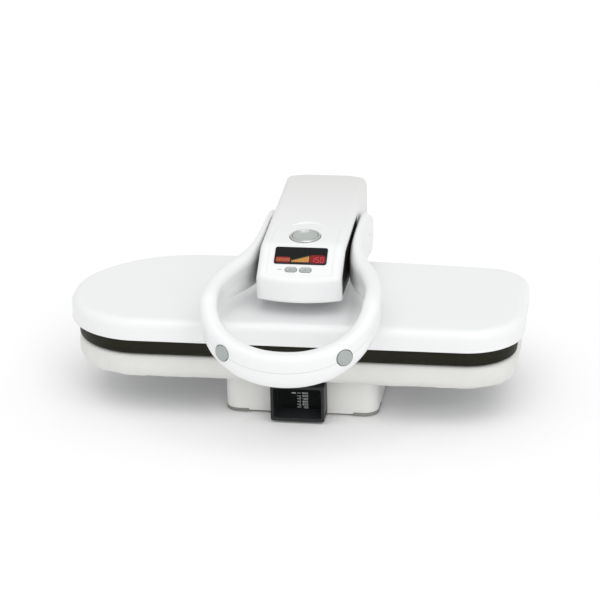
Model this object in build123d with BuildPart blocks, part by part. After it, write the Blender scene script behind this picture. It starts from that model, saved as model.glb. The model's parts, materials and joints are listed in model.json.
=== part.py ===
from build123d import *
import math
import os

os.makedirs("parts", exist_ok=True)

# ---------------------------------------------------------------- driving dimensions (mm)
# Everything is laid out about the arm's middle plane; AX and AY carry that layout to
# the origin, which lies under the middle of the whole press.
FRONT, REAR = -266.0, 222.0           # handle's front, the gland at the back
SHOE_LEFT, SHOE_RIGHT = -339.5, 311.5  # ends of the shoe
SHOE_FRONT, SHOE_BACK = -141.5, 134.0
SHOE_BOW = 5200.0                     # radius of the gently bowed back edge
FRONT_LEFT_R, FRONT_RIGHT_R = 112.0, 80.0
AX = -(SHOE_LEFT + SHOE_RIGHT) / 2
AY = -(FRONT + REAR) / 2

# heights
FOOT = 5.0
BASE_TOP = 57.5
BOARD_LOW, BOARD_TOP = 58.2, 95.0
PLATE_LOW, PLATE_TOP = 95.35, 103.95
BAND_TOP = 118.7
COVER_LOW, COVER_TOP = 119.0, 151.0
COVER_ROUND = 13.0

# base
BASE_W, BASE_Y0, BASE_Y1, BASE_R = 218.0, -103.0, 218.0, 20.0
WALL = 3.0

# pivots, as (y, z)
P1 = (184.0, 165.0)    # arm on the column
P2 = (152.0, 178.0)    # handle on the arm
CRANK = (12.0, -20.8)  # handle pivot to roller, closed
OPEN_DEG, RATIO = 45.0, 0.3
ROLLER_R, TRACK_GAP = 5.0, 0.35

# head
HEAD_W, NOSE_Y, HEAD_REAR = 60.0, -98.0, 211.0
NOSE_EDGE = (-101.0, 207.0)   # front edge of the sloping panel
BROW = (-54.0, 238.5)         # where the slope meets the long top
TAIL = (205.0, 254.5)
UNDER = 171.0

# handle
RING_A, RING_B, RING_Y = 111.5, 76.5, -176.0   # half-axes and centre of the front loop's middle line

# tank
TANK_TRAVEL = 120.0
TANK_RECESS_Y = -114.5                # back wall of the recess in the tank's front


def flat(z, x=0.0, y=0.0):
    """Level plane at height z."""
    return Plane(origin=(AX + x, AY + y, z), x_dir=(1, 0, 0), z_dir=(0, 0, 1))


def side(x):
    """Upright plane across X; sketch x is depth, sketch y is height."""
    return Plane(origin=(AX + x, AY, 0), x_dir=(0, 1, 0), z_dir=(1, 0, 0))


def front(y):
    """Upright plane across Y, facing the user; sketch y is height."""
    return Plane(origin=(AX, AY + y, 0), x_dir=(1, 0, 0), z_dir=(0, -1, 0))


def shoe_outline(d):
    """Closed outline of the shoe, d inside its outermost line."""
    xl, xr, yf, yb = SHOE_LEFT, SHOE_RIGHT, SHOE_FRONT, SHOE_BACK
    x0, corner = xl + 174.5, 66.0
    tilt = math.asin((xr - corner - x0) / (SHOE_BOW - corner))
    yc = yb - SHOE_BOW + (SHOE_BOW - corner) * math.cos(tilt)
    tilt = math.degrees(tilt)
    Line((xl + FRONT_LEFT_R, yf + d), (xr - FRONT_RIGHT_R, yf + d))
    CenterArc((xr - FRONT_RIGHT_R, yf + FRONT_RIGHT_R), FRONT_RIGHT_R - d, -90, 90)
    Line((xr - d, yf + FRONT_RIGHT_R), (xr - d, yc))
    CenterArc((xr - corner, yc), corner - d, 0, 90 - tilt)
    CenterArc((x0, yb - SHOE_BOW), SHOE_BOW - d, 90 - tilt, tilt)
    EllipticalCenterArc((x0, yb - 150.5), 174.5 - d, 150.5 - d, start_angle=90, arc_size=90)
    Line((xl + d, yb - 150.5), (xl + d, yf + FRONT_LEFT_R))
    CenterArc((xl + FRONT_LEFT_R, yf + FRONT_LEFT_R), FRONT_LEFT_R - d, 180, 90)


def lift(p, deg):
    """A point (y, z) carried by the arm as it opens by deg."""
    a = math.radians(deg)
    dy, dz = p[0] - P1[0], p[1] - P1[1]
    return (P1[0] + dy * math.cos(a) + dz * math.sin(a), P1[1] + dz * math.cos(a) - dy * math.sin(a))


def roller_at(deg):
    c = lift(P2, deg)
    a = math.radians(deg * (1 + RATIO))
    dy, dz = CRANK
    return (c[0] + dy * math.cos(a) + dz * math.sin(a), c[1] + dz * math.cos(a) - dy * math.sin(a))


TRACK = [roller_at(k * 3.0) for k in range(int(OPEN_DEG // 3) + 1)]
C0 = TRACK[0]

# the sloping panel and the long top, as planes
SLOPE_A = math.atan2(BROW[1] - NOSE_EDGE[1], BROW[0] - NOSE_EDGE[0])
TOP_A = math.atan2(TAIL[1] - BROW[1], TAIL[0] - BROW[0])
SLOPE_LEN = math.hypot(BROW[0] - NOSE_EDGE[0], BROW[1] - NOSE_EDGE[1])


def slope(s, n, x=0.0):
    """Plane on the panel's slope, s up from its front edge, n proud of it."""
    y = NOSE_EDGE[0] + s * math.cos(SLOPE_A) - n * math.sin(SLOPE_A)
    z = NOSE_EDGE[1] + s * math.sin(SLOPE_A) + n * math.cos(SLOPE_A)
    return Plane(origin=(AX + x, AY + y, z), x_dir=(1, 0, 0), z_dir=(0, -math.sin(SLOPE_A), math.cos(SLOPE_A)))


BUTTON_Y = -27.0
DISPLAY_S, DISPLAY_H = 36.4, 28.5     # display window's middle, up the slope, and its height
KEY_S, KEY_X = 12.6, (-11.6, 8.8)


def crown(n, y=BUTTON_Y):
    """Plane on the head's long top, n proud of it, at depth y."""
    z = BROW[1] + (y - BROW[0]) * math.tan(TOP_A)
    return Plane(
        origin=(AX, AY + y - n * math.sin(TOP_A), z + n * math.cos(TOP_A)),
        x_dir=(1, 0, 0),
        z_dir=(0, -math.sin(TOP_A), math.cos(TOP_A)),
    )


# ================================================================= base
FOOT_X, FOOT_Y = 34.5, 43.0

with BuildPart() as base_housing:
    with BuildSketch(flat(3.0, 0, (BASE_Y0 + BASE_Y1) / 2)):
        RectangleRounded(BASE_W, BASE_Y1 - BASE_Y0, BASE_R)
    extrude(amount=BASE_TOP - 3.0)
    fillet(base_housing.faces().sort_by(Axis.Z)[-1].edges(), 5.0)
    with BuildSketch(flat(3.0, 0, (BASE_Y0 + BASE_Y1) / 2)):
        RectangleRounded(BASE_W - 2 * WALL, BASE_Y1 - BASE_Y0 - 2 * WALL, BASE_R - WALL)
    extrude(amount=BASE_TOP - 3.0 - WALL, mode=Mode.SUBTRACT)
    # room for the corner feet
    with BuildSketch(flat(3.0, 0, (BASE_Y0 + BASE_Y1) / 2)):
        Rectangle(BASE_W + 10, BASE_Y1 - BASE_Y0 + 10)
        Rectangle(BASE_W - 2 * FOOT_X, BASE_Y1 - BASE_Y0 + 20, mode=Mode.SUBTRACT)
        Rectangle(BASE_W + 20, BASE_Y1 - BASE_Y0 - 2 * FOOT_Y, mode=Mode.SUBTRACT)
    extrude(amount=FOOT - 3.0 + 0.3, mode=Mode.SUBTRACT)
    # tank mouth
    with BuildSketch(front(BASE_Y0 - 1)):
        with Locations((0, 29.0)):
            Rectangle(73.0, 47.0)
    extrude(amount=-(WALL + 6), mode=Mode.SUBTRACT)
    # column opening in the top, gland hole in the back
    with BuildSketch(flat(BASE_TOP + 1, 0, 172.5)):
        RectangleRounded(90.0, 65.5, 4.0)
    extrude(amount=-(WALL + 2), mode=Mode.SUBTRACT)
    with BuildSketch(front(BASE_Y1 + 1)):
        with Locations((-70.0, 30.0)):
            Circle(7.0)
    extrude(amount=WALL + 3, mode=Mode.SUBTRACT)
    # screw bosses
    with BuildSketch(flat(8.0)):
        with Locations((-95, -50), (95, -50), (-95, 60), (95, 60), (-95, 170), (95, 170)):
            Circle(4.5)
            Circle(1.6, mode=Mode.SUBTRACT)
    extrude(amount=BASE_TOP - WALL - 8.0 + 0.5)

with BuildPart() as base_plate:
    with BuildSketch(flat(5.4, 0, (BASE_Y0 + BASE_Y1) / 2)):
        RectangleRounded(BASE_W - 2 * WALL - 0.6, BASE_Y1 - BASE_Y0 - 2 * WALL - 0.6, BASE_R - WALL)
        with Locations(*[(x, y - (BASE_Y0 + BASE_Y1) / 2) for x in (-95, 95) for y in (-50, 60, 170)]):
            Circle(1.8, mode=Mode.SUBTRACT)
        with Locations(*[(x, y - (BASE_Y0 + BASE_Y1) / 2) for x in (-50, 50) for y in (130, 200)]):
            Circle(3.1, mode=Mode.SUBTRACT)
    extrude(amount=2.0)
    # guide ribs for the tank
    with BuildSketch(flat(7.0)):
        with Locations((-37.2, -5.0), (37.2, -5.0)):
            Rectangle(2.0, 180.0)
    extrude(amount=7.0)

with BuildPart() as rubber_feet:
    with BuildSketch(flat(0, 0, (BASE_Y0 + BASE_Y1) / 2)):
        RectangleRounded(BASE_W + 0.8, BASE_Y1 - BASE_Y0 + 0.8, BASE_R + 0.4)
        Rectangle(BASE_W - 2 * FOOT_X, BASE_Y1 - BASE_Y0 + 20, mode=Mode.SUBTRACT)
        Rectangle(BASE_W + 20, BASE_Y1 - BASE_Y0 - 2 * FOOT_Y, mode=Mode.SUBTRACT)
    extrude(amount=FOOT)
    fillet(rubber_feet.edges().group_by(Axis.Z)[0], 1.0)

with BuildPart() as base_screws:
    with BuildSketch(flat(5.4)):
        with Locations((-95, -50), (95, -50), (-95, 60), (95, 60), (-95, 170), (95, 170)):
            Circle(1.5)
    extrude(amount=14.0)
    with BuildSketch(flat(3.4)):
        with Locations((-95, -50), (95, -50), (-95, 60), (95, 60), (-95, 170), (95, 170)):
            Circle(3.3)
    extrude(amount=2.0)

with BuildPart() as column_frame:
    # foot, front web and the two cheeks
    with BuildSketch(flat(7.4)):
        with Locations((0, 165.0)):
            Rectangle(124.0, 90.0)
        with Locations((-50, 130), (50, 130), (-50, 200), (50, 200)):
            Circle(3.1, mode=Mode.SUBTRACT)
    extrude(amount=3.6)
    with BuildSketch(flat(11.0)):
        with Locations((0, 148.5)):
            Rectangle(72.0, 3.0)
    extrude(amount=108.0)
    for x in (-40.0, 36.0):
        with BuildSketch(side(x)):
            with Locations((172.0, 88.0)):
                Rectangle(50.0, 154.0)
            with Locations(P1):
                Circle(20.0)
            with Locations(TRACK[0], TRACK[4], TRACK[8], TRACK[12], TRACK[15]):
                Circle(12.0)
            with Locations(((P1[0] + C0[0]) / 2, 170.0)):
                Rectangle(24.0, 20.0)
            with Locations(P1):
                Circle(7.02, mode=Mode.SUBTRACT)
            with BuildLine():
                Polyline(*TRACK)
            trace(line_width=2 * (ROLLER_R + TRACK_GAP), mode=Mode.SUBTRACT)
            with Locations(*TRACK):
                Circle(ROLLER_R + TRACK_GAP, mode=Mode.SUBTRACT)
        extrude(amount=4.0)

with BuildPart() as column_bolts:
    with BuildSketch(flat(5.4)):
        with Locations((-50, 130), (50, 130), (-50, 200), (50, 200)):
            Circle(3.0)
    extrude(amount=5.6)
    with BuildSketch(flat(11.0)):
        with Locations((-50, 130), (50, 130), (-50, 200), (50, 200)):
            RegularPolygon(5.8, 6)
    extrude(amount=4.0)

with BuildPart() as column_cover:
    with BuildSketch(flat(BASE_TOP + 0.1, 0, 172.25)):
        RectangleRounded(88.0, 62.5, 5.0)
        RectangleRounded(83.6, 58.1, 3.0, mode=Mode.SUBTRACT)
    extrude(amount=70.0)
    # tongue that closes the back between the cheeks, set in so that the open head's back wall clears it
    with BuildSketch(flat(118.0, 0, 201.1)):
        Rectangle(68.0, 4.6)
    extrude(amount=9.5)
    with BuildSketch(flat(127.0, 0, 199.9)):
        Rectangle(68.0, 2.2)
    extrude(amount=30.0)

with BuildPart() as pivot_shaft:
    with BuildSketch(side(-54.5)):
        with Locations(P1):
            Circle(7.0)
    extrude(amount=109.0)
    for x in (-54.0, 52.6):
        with BuildSketch(side(x)):
            with Locations(P1):
                Circle(7.5)
                Circle(6.3, mode=Mode.SUBTRACT)
        extrude(amount=1.4, mode=Mode.SUBTRACT)

with BuildPart() as retaining_rings:
    for x in (-53.9, 52.7):
        with BuildSketch(side(x)):
            with Locations(P1):
                Circle(9.6)
                Circle(6.4, mode=Mode.SUBTRACT)
        extrude(amount=1.2)

with BuildPart() as counterbalance_springs:
    for x in (-33.0, 7.0):
        with BuildLine() as coil:
            Helix(pitch=4.6, height=26.0, radius=12.0, center=(AX + x, AY + P1[0], P1[1]), direction=(1, 0, 0))
        with BuildSketch(Plane(origin=coil.line @ 0, z_dir=coil.line % 0)):
            Circle(1.6)
        sweep(path=coil.line)

with BuildPart() as board_spacers:
    with BuildSketch(flat(BASE_TOP + 0.02)):
        with Locations((-80, -70), (80, -70), (-80, 90), (80, 90)):
            Circle(8.0)
            Circle(2.6, mode=Mode.SUBTRACT)
    extrude(amount=3.46)

with BuildPart() as board_tray:
    with BuildSketch(flat(61.0)):
        with BuildLine():
            shoe_outline(24.0)
        make_face()
    extrude(amount=2.0)
    with BuildSketch(flat(63.0)):
        with BuildLine():
            shoe_outline(24.0)
        make_face()
        with BuildLine():
            shoe_outline(26.0)
        make_face(mode=Mode.SUBTRACT)
    extrude(amount=6.0)

with BuildPart() as board_pad:
    with BuildSketch(flat(69.3)):
        with BuildLine():
            shoe_outline(15.0)
        make_face()
    extrude(amount=21.0)

with BuildPart() as board_cover:
    with BuildSketch(flat(BOARD_LOW)):
        with BuildLine():
            shoe_outline(8.0)
        make_face()
    extrude(amount=BOARD_TOP - BOARD_LOW)
    fillet(board_cover.faces().sort_by(Axis.Z)[0].edges(), 9.0)
    fillet(board_cover.faces().sort_by(Axis.Z)[-1].edges(), 7.0)
    with BuildSketch(flat(BOARD_LOW - 1)):
        with BuildLine():
            shoe_outline(23.6)
        make_face()
    extrude(amount=69.3 - (BOARD_LOW - 1), mode=Mode.SUBTRACT)
    with BuildSketch(flat(69.2)):
        with BuildLine():
            shoe_outline(14.6)
        make_face()
    extrude(amount=21.3, mode=Mode.SUBTRACT)

with BuildPart() as tank_coupling:
    with BuildSketch(flat(7.4)):
        with Locations((0, 109.0)):
            Rectangle(34.0, 9.0)
    extrude(amount=30.0)
    with BuildSketch(front(104.5)):
        with Locations((0, 24.0)):
            Circle(6.5)
            Circle(4.6, mode=Mode.SUBTRACT)
    extrude(amount=4.0)
    with BuildSketch(front(113.6)):
        with Locations((0, 24.0)):
            Circle(3.0)
    extrude(amount=12.0, mode=Mode.SUBTRACT)

with BuildPart() as water_pump:
    with BuildSketch(front(96.0)):
        with Locations((-72.0, 30.0)):
            Circle(15.0)
    extrude(amount=50.0)
    with BuildSketch(flat(7.4)):
        with Locations((-72.0, 71.0)):
            Rectangle(24.0, 40.0)
    extrude(amount=14.0)
    with BuildSketch(front(108.0)):
        with Locations((-72.0, 30.0)):
            Circle(4.0)
    extrude(amount=12.5)

with BuildPart() as water_hose:
    with BuildLine() as hose_path:
        FilletPolyline(
            (AX, AY + 113.7, 24.0),
            (AX, AY + 121.0, 24.0),
            (AX - 20, AY + 124.5, 27.0),
            (AX - 52, AY + 124.5, 30.0),
            (AX - 72, AY + 121.0, 30.0),
            (AX - 72, AY + 108.2, 30.0),
            radius=5.5,
        )
    with BuildSketch(Plane(origin=hose_path.line @ 0, z_dir=hose_path.line % 0)):
        Circle(3.0)
    sweep(path=hose_path.line)

with BuildPart() as power_board:
    with BuildSketch(flat(14.0, 66.0, 20.0)):
        Rectangle(44.0, 100.0)
    extrude(amount=1.6)
    with BuildSketch(flat(15.6, 66.0, 20.0)):
        with Locations((-11, 30), (-11, 5), (11, -34)):
            Rectangle(18.0, 15.0)
        with Locations((11, 25), (11, 0)):
            Circle(8.0)
    extrude(amount=20.0)
    with BuildSketch(flat(7.4, 66.0, 20.0)):
        with Locations((-18, -46), (18, -46), (-18, 46), (18, 46)):
            Circle(3.0)
    extrude(amount=6.7)

with BuildPart() as cord_gland:
    with BuildSketch(front(BASE_Y1 + 4.0)):
        with Locations((-70.0, 30.0)):
            Circle(6.95)
    extrude(amount=9.0)
    with BuildSketch(front(BASE_Y1 + 4.0)):
        with Locations((-70.0, 30.0)):
            Circle(10.0)
    extrude(amount=3.9)
    with BuildSketch(front(BASE_Y1 + 5.0)):
        with Locations((-70.0, 30.0)):
            Circle(3.7)
    extrude(amount=12.0, mode=Mode.SUBTRACT)

# ================================================================= water tank
with BuildPart() as water_tank:
    with BuildSketch(flat(8.0)):
        with Locations((0, -6.6)):
            RectangleRounded(70.0, 193.0, 5.0)
    extrude(amount=41.0)
    with BuildSketch(flat(10.0)):
        with Locations((0, -6.6)):
            RectangleRounded(66.0, 189.0, 4.0)
    extrude(amount=45.0, mode=Mode.SUBTRACT)
    with BuildSketch(front(91.0)):
        with Locations((0, 24.0)):
            Circle(4.0)
    extrude(amount=8.0, mode=Mode.SUBTRACT)

with BuildPart() as tank_lid:
    with BuildSketch(flat(49.02)):
        with Locations((0, -6.6)):
            RectangleRounded(70.0, 193.0, 5.0)
        with Locations((0, -60.0)):
            Circle(10.0, mode=Mode.SUBTRACT)
    extrude(amount=2.0)

with BuildPart() as tank_plug:
    with BuildSketch(flat(45.0)):
        with Locations((0, -60.0)):
            Circle(9.9)
    extrude(amount=6.1)
    with BuildSketch(flat(51.05)):
        with Locations((0, -60.0)):
            Circle(12.0)
    extrude(amount=1.3)

with BuildPart() as tank_valve:
    with BuildSketch(front(99.0)):
        with Locations((0, 24.0)):
            Circle(3.95)
    extrude(amount=16.0)
    with BuildSketch(front(99.1)):
        with Locations((0, 24.0)):
            Circle(1.5)
    extrude(amount=18.0, mode=Mode.SUBTRACT)

with BuildPart() as tank_front:
    with BuildSketch(front(-103.6)):
        with Locations((0, 29.8)):
            RectangleRounded(76.0, 52.4, 2.5)
    extrude(amount=32.4)
    # deep tapering recess, and the hollow back
    with BuildSketch(front(-136.2)):
        with Locations((0, 30.2)):
            RectangleRounded(68.0, 44.8, 3.0)
    with BuildSketch(front(TANK_RECESS_Y)):
        with Locations((0, 32.0)):
            RectangleRounded(62.0, 37.0, 2.5)
    loft(mode=Mode.SUBTRACT)
    with BuildSketch(front(-103.0)):
        with Locations((0, 29.8)):
            Rectangle(70.0, 46.4)
    extrude(amount=7.5, mode=Mode.SUBTRACT)

with BuildPart() as tank_window:
    with BuildSketch(front(TANK_RECESS_Y - 0.04)):
        with Locations((0, 32.0)):
            RectangleRounded(60.0, 35.0, 1.5)
    extrude(amount=1.4)

# ================================================================= arm
STUDS = [(-32.0, -30.0), (32.0, -30.0), (-32.0, 70.0), (32.0, 70.0)]

with BuildPart() as arm_frame:
    for x in (-52.0, 48.0):
        with BuildSketch(side(x)):
            with BuildLine():
                Polyline(
                    (-75, 178), (-75, 197), (110, 205), (152, 200), (190, 186), (201, 172),
                    (199, 154), (184, 148), (166, 152), (134, 170), (118, 178), close=True,
                )
            make_face()
            with Locations(P1):
                Circle(10.02, mode=Mode.SUBTRACT)
            with Locations(P2):
                Circle(8.02, mode=Mode.SUBTRACT)
        extrude(amount=4.0)
    with BuildSketch(flat(178.0)):
        with Locations((0, 21.5)):
            Rectangle(97.0, 193.0)
        with Locations(*STUDS):
            Circle(4.05, mode=Mode.SUBTRACT)
    extrude(amount=3.0)

with BuildPart() as pivot_bushes:
    for x in (-52.2, 47.6):
        with BuildSketch(side(x)):
            with Locations(P1):
                Circle(10.0)
                Circle(7.05, mode=Mode.SUBTRACT)
        extrude(amount=4.6)

with BuildPart() as handle_bushes:
    for x in (-52.4, 47.6):
        with BuildSketch(side(x)):
            with Locations(P2):
                Circle(8.0)
                Circle(6.05, mode=Mode.SUBTRACT)
        extrude(amount=4.8)

def flank_panel(x, inset):
    """Outline of a side panel on the head's flank."""
    with BuildSketch(side(x)) as flank:
        with BuildLine():
            Polyline(
                (-88.0 + inset, 174.0 + inset), (-88.0 + inset, 203.0 - inset / 2), (-50.0 + inset / 2, 228.5 - inset),
                (76.0 - inset, 236.3 - inset), (76.0 - inset, 174.0 + inset), close=True,
            )
        make_face()
        fillet(flank.vertices(), 3.0)
    return flank.sketch


with BuildPart() as head_cover:
    with BuildSketch(side(-HEAD_W)) as head_profile:
        with BuildLine():
            Polyline(
                (NOSE_Y, UNDER), NOSE_EDGE, BROW, TAIL, (HEAD_REAR, 247.0), (HEAD_REAR, 166.0),
                (206, 150), (192, 143), (160, 143), (141, 156), (120, UNDER), close=True,
            )
        make_face()
        fillet(head_profile.vertices().sort_by_distance((BROW[0], BROW[1], 0))[0], 25.0)
        fillet(head_profile.vertices().sort_by_distance((NOSE_EDGE[0], NOSE_EDGE[1], 0))[0], 8.0)
        fillet(head_profile.vertices().sort_by_distance((TAIL[0], TAIL[1], 0))[0], 5.0)
        fillet(head_profile.vertices().sort_by_distance((HEAD_REAR, 247.0, 0))[0], 8.0)
    extrude(amount=2 * HEAD_W)
    for face_x in (-HEAD_W, HEAD_W):
        rim = [
            e for e in head_cover.edges()
            if abs(e.center().X - (AX + face_x)) < 0.01 and (
                e.center().Z > 206.0 or (e.center().Y - AY < -97.0 and e.center().Z > 175.0)
                or (e.center().Y - AY > HEAD_REAR - 0.01)
            )
        ]
        fillet(rim, 8.0)
    with BuildSketch(side(-HEAD_W + 3)):
        with BuildLine():
            Polyline(
                (NOSE_Y + 3.2, UNDER - 40), (NOSE_EDGE[0] + 4.0, 205.0), (BROW[0] + 1.0, BROW[1] - 3.6),
                (TAIL[0] - 2.0, TAIL[1] - 3.6), (HEAD_REAR - 3, 245.5), (HEAD_REAR - 3, 130.0), close=True,
            )
        make_face()
    extrude(amount=2 * HEAD_W - 6, mode=Mode.SUBTRACT)
    # the back wall ends at the pivot's height
    with BuildSketch(side(-HEAD_W + 3)):
        with BuildLine():
            Polyline((150, 120), (150, 166), (225, 166), (225, 120), close=True)
        make_face()
    extrude(amount=2 * HEAD_W - 6, mode=Mode.SUBTRACT)
    # opening for the control panel
    with BuildSketch(side(-46.3)):
        with BuildLine():
            Polyline(
                (-100.4, 214.6), (-93.8, 204.6), (-50.0, 232.5), (2.3, 236.0), (2.3, 250.0), (-60.0, 250.0), close=True,
            )
        make_face()
    extrude(amount=92.6, mode=Mode.SUBTRACT)
    # shallow beds for the side panels
    for x0 in (-HEAD_W - 1, HEAD_W - 1.7):
        extrude(flank_panel(x0, 0.0), amount=2.7, mode=Mode.SUBTRACT)
    # handle shaft holes
    with BuildSketch(side(-HEAD_W - 1)):
        with Locations(P2):
            Circle(9.0)
    extrude(amount=2 * HEAD_W + 2, mode=Mode.SUBTRACT)

with BuildPart() as head_side_panels:
    for x0 in (-HEAD_W + 0.2, HEAD_W - 1.6):
        extrude(flank_panel(x0, 0.15), amount=1.4)

with BuildPart() as head_lower_cover:
    with BuildSketch(flat(UNDER + 0.2)):
        with Locations((0, 11.9)):
            RectangleRounded(113.4, 212.6, 4.0)
        with Locations((0, 15.0)):
            Rectangle(86.0, 148.0, mode=Mode.SUBTRACT)
    extrude(amount=2.5)

with BuildPart() as neck_cover:
    with BuildSketch(flat(COVER_TOP + 0.3, 0, 25.0)):
        RectangleRounded(100.0, 142.0, 14.0)
        RectangleRounded(95.0, 137.0, 12.0, mode=Mode.SUBTRACT)
    extrude(amount=UNDER - COVER_TOP - 0.5)

with BuildPart() as platen_cover:
    with BuildSketch(flat(COVER_LOW)):
        with BuildLine():
            shoe_outline(0.0)
        make_face()
    extrude(amount=COVER_TOP - COVER_LOW)
    fillet(platen_cover.faces().sort_by(Axis.Z)[-1].edges(), COVER_ROUND)
    # hollow, stepped under the rounded edge, with an inward lip at the bottom
    for z0, z1, d in ((COVER_LOW - 1, COVER_LOW + 3, 10.0), (COVER_LOW + 2.5, 139.0, 3.0), (138.5, 144.0, 5.5), (143.5, 148.0, 10.5)):
        with BuildSketch(flat(z0)):
            with BuildLine():
                shoe_outline(d)
            make_face()
        extrude(amount=z1 - z0, mode=Mode.SUBTRACT)
    with BuildSketch(flat(COVER_TOP + 1)):
        with Locations(*STUDS):
            Circle(11.0)
        with Locations((0, 15.0)):
            RectangleRounded(24.0, 60.0, 6.0)
    extrude(amount=-8.0, mode=Mode.SUBTRACT)

with BuildPart() as heat_skirt:
    with BuildSketch(flat(PLATE_TOP + 0.25)):
        with BuildLine():
            shoe_outline(9.0)
        make_face()
        with BuildLine():
            shoe_outline(12.2)
        make_face(mode=Mode.SUBTRACT)
    extrude(amount=BAND_TOP - PLATE_TOP - 0.25)

with BuildPart() as heating_plate:
    with BuildSketch(flat(PLATE_LOW)):
        with BuildLine():
            shoe_outline(9.5)
        make_face()
    extrude(amount=PLATE_TOP - PLATE_LOW)
    fillet(heating_plate.faces().sort_by(Axis.Z)[0].edges(), 2.0)
    with BuildSketch(flat(PLATE_TOP - 0.05)):
        with Locations(*STUDS):
            Circle(9.5)
    extrude(amount=124.0 - PLATE_TOP + 0.05)
    with BuildSketch(flat(124.1)):
        with Locations(*STUDS):
            Circle(4.02)
    extrude(amount=-14.1, mode=Mode.SUBTRACT)

with BuildPart() as heating_element:
    with BuildLine() as element_path:
        FilletPolyline(
            (AX - 120, AY - 92, 108.2), (AX + 230, AY - 92, 108.2), (AX + 270, AY - 8, 108.2),
            (AX + 230, AY + 86, 108.2), (AX - 200, AY + 86, 108.2), (AX - 292, AY - 14, 108.2),
            (AX - 226, AY - 92, 108.2), (AX - 140, AY - 92, 108.2),
            radius=34.0,
        )
    with BuildSketch(Plane(origin=element_path.line @ 0, z_dir=element_path.line % 0)):
        Circle(4.1)
    sweep(path=element_path.line)

with BuildPart() as steam_chamber_lid:
    with BuildSketch(flat(PLATE_TOP + 0.05)):
        with Locations((-10, -2)):
            RectangleRounded(330.0, 120.0, 18.0)
        with Locations(*STUDS):
            Circle(10.5, mode=Mode.SUBTRACT)
    extrude(amount=7.0)
    with BuildSketch(flat(111.0)):
        with Locations((-90, 10)):
            Circle(6.0)
            Circle(3.0, mode=Mode.SUBTRACT)
    extrude(amount=13.0)

with BuildPart() as thermostats:
    with BuildSketch(flat(PLATE_TOP + 0.05)):
        with Locations((190, -30), (190, 30)):
            Circle(8.0)
    extrude(amount=11.0)

with BuildPart() as insulation_sheet:
    with BuildSketch(flat(126.0)):
        with BuildLine():
            shoe_outline(16.0)
        make_face()
        with Locations(*STUDS):
            Circle(11.5, mode=Mode.SUBTRACT)
        with Locations((-90, 10)):
            Circle(7.0, mode=Mode.SUBTRACT)
    extrude(amount=6.0)

with BuildPart() as mount_spacers:
    with BuildSketch(flat(124.05)):
        with Locations(*STUDS):
            Circle(9.5)
            Circle(4.05, mode=Mode.SUBTRACT)
    extrude(amount=53.9)

with BuildPart() as platen_bolts:
    with BuildSketch(flat(112.0)):
        with Locations(*STUDS):
            Circle(4.0)
    extrude(amount=69.05)
    with BuildSketch(flat(181.05)):
        with Locations(*STUDS):
            RegularPolygon(7.5, 6)
    extrude(amount=5.3)

with BuildPart() as control_panel:
    nx, nz = -math.sin(SLOPE_A), math.cos(SLOPE_A)
    sx, sz = math.cos(SLOPE_A), math.sin(SLOPE_A)
    px = NOSE_EDGE[0] + 5.0 * sx
    pz = NOSE_EDGE[1] + 5.0 * sz
    bend = (SLOPE_A - TOP_A) / 2
    mx, mz = -math.sin(SLOPE_A - bend) / math.cos(bend), math.cos(SLOPE_A - bend) / math.cos(bend)
    ez = BROW[1] + (2.0 - BROW[0]) * math.tan(TOP_A)
    with BuildSketch(side(-46.0)) as panel_profile:
        with BuildLine():
            Polyline(
                (px + nx * 0.8, pz + nz * 0.8), (BROW[0] + mx * 0.8, BROW[1] + mz * 0.8), (2.0, ez + 0.8),
                (2.0, ez - 2.2), (BROW[0] - mx * 2.2, BROW[1] - mz * 2.2), (px - nx * 2.2, pz - nz * 2.2), close=True,
            )
        make_face()
        fillet(panel_profile.vertices().sort_by_distance((BROW[0] + mx * 0.8, BROW[1] + mz * 0.8, 0))[0], 24.0)
        fillet(panel_profile.vertices().sort_by_distance((BROW[0] - mx * 2.2, BROW[1] - mz * 2.2, 0))[0], 21.0)
    extrude(amount=92.0)
    with BuildSketch(slope(DISPLAY_S, 6.0)):
        RectangleRounded(74.2, DISPLAY_H + 0.6, 3.3)
    extrude(amount=-16.0, mode=Mode.SUBTRACT)
    with BuildSketch(slope(KEY_S, 6.0)):
        with Locations((KEY_X[0], 0), (KEY_X[1], 0)):
            RectangleRounded(19.2, 9.2, 4.5)
    extrude(amount=-16.0, mode=Mode.SUBTRACT)
    with BuildSketch(crown(6.0)):
        Circle(23.7)
    extrude(amount=-16.0, mode=Mode.SUBTRACT)
    with BuildSketch(slope(24.0, -1.5)):
        with Locations((-39.8, -15.0), (39.8, -15.0), (-39.8, 18.0), (39.8, 18.0)):
            Circle(1.8)
    extrude(amount=-10.45)

with BuildPart() as display_window:
    with BuildSketch(slope(DISPLAY_S, -1.4)):
        RectangleRounded(73.5, DISPLAY_H, 3.0)
    extrude(amount=2.6)
    fillet(display_window.faces().sort_by(Axis((0, 0, 0), (0, nx, nz)))[-1].edges(), 0.6)

with BuildPart() as display_module:
    with BuildSketch(slope(DISPLAY_S, -9.0)):
        Rectangle(66.0, 24.0)
    extrude(amount=7.4)

with BuildPart() as control_board:
    with BuildSketch(slope(24.0, -12.0)):
        Rectangle(84.0, 46.0)
    extrude(amount=-1.6)
    with BuildSketch(slope(KEY_S, -12.0)):
        with Locations((KEY_X[0], 0), (KEY_X[1], 0)):
            Rectangle(6.0, 6.0)
    extrude(amount=2.6)
    with BuildSketch(slope(DISPLAY_S, -12.0)):
        Rectangle(50.0, 12.0)
    extrude(amount=2.9)

with BuildPart() as button_bezel:
    with BuildSketch(crown(-3.0)):
        Circle(23.4)
        Circle(19.6, mode=Mode.SUBTRACT)
    extrude(amount=4.9)
    fillet(button_bezel.edges().sort_by(Axis((0, 0, 0), (0, -math.sin(TOP_A), math.cos(TOP_A))))[-2:], 1.2)

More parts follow.
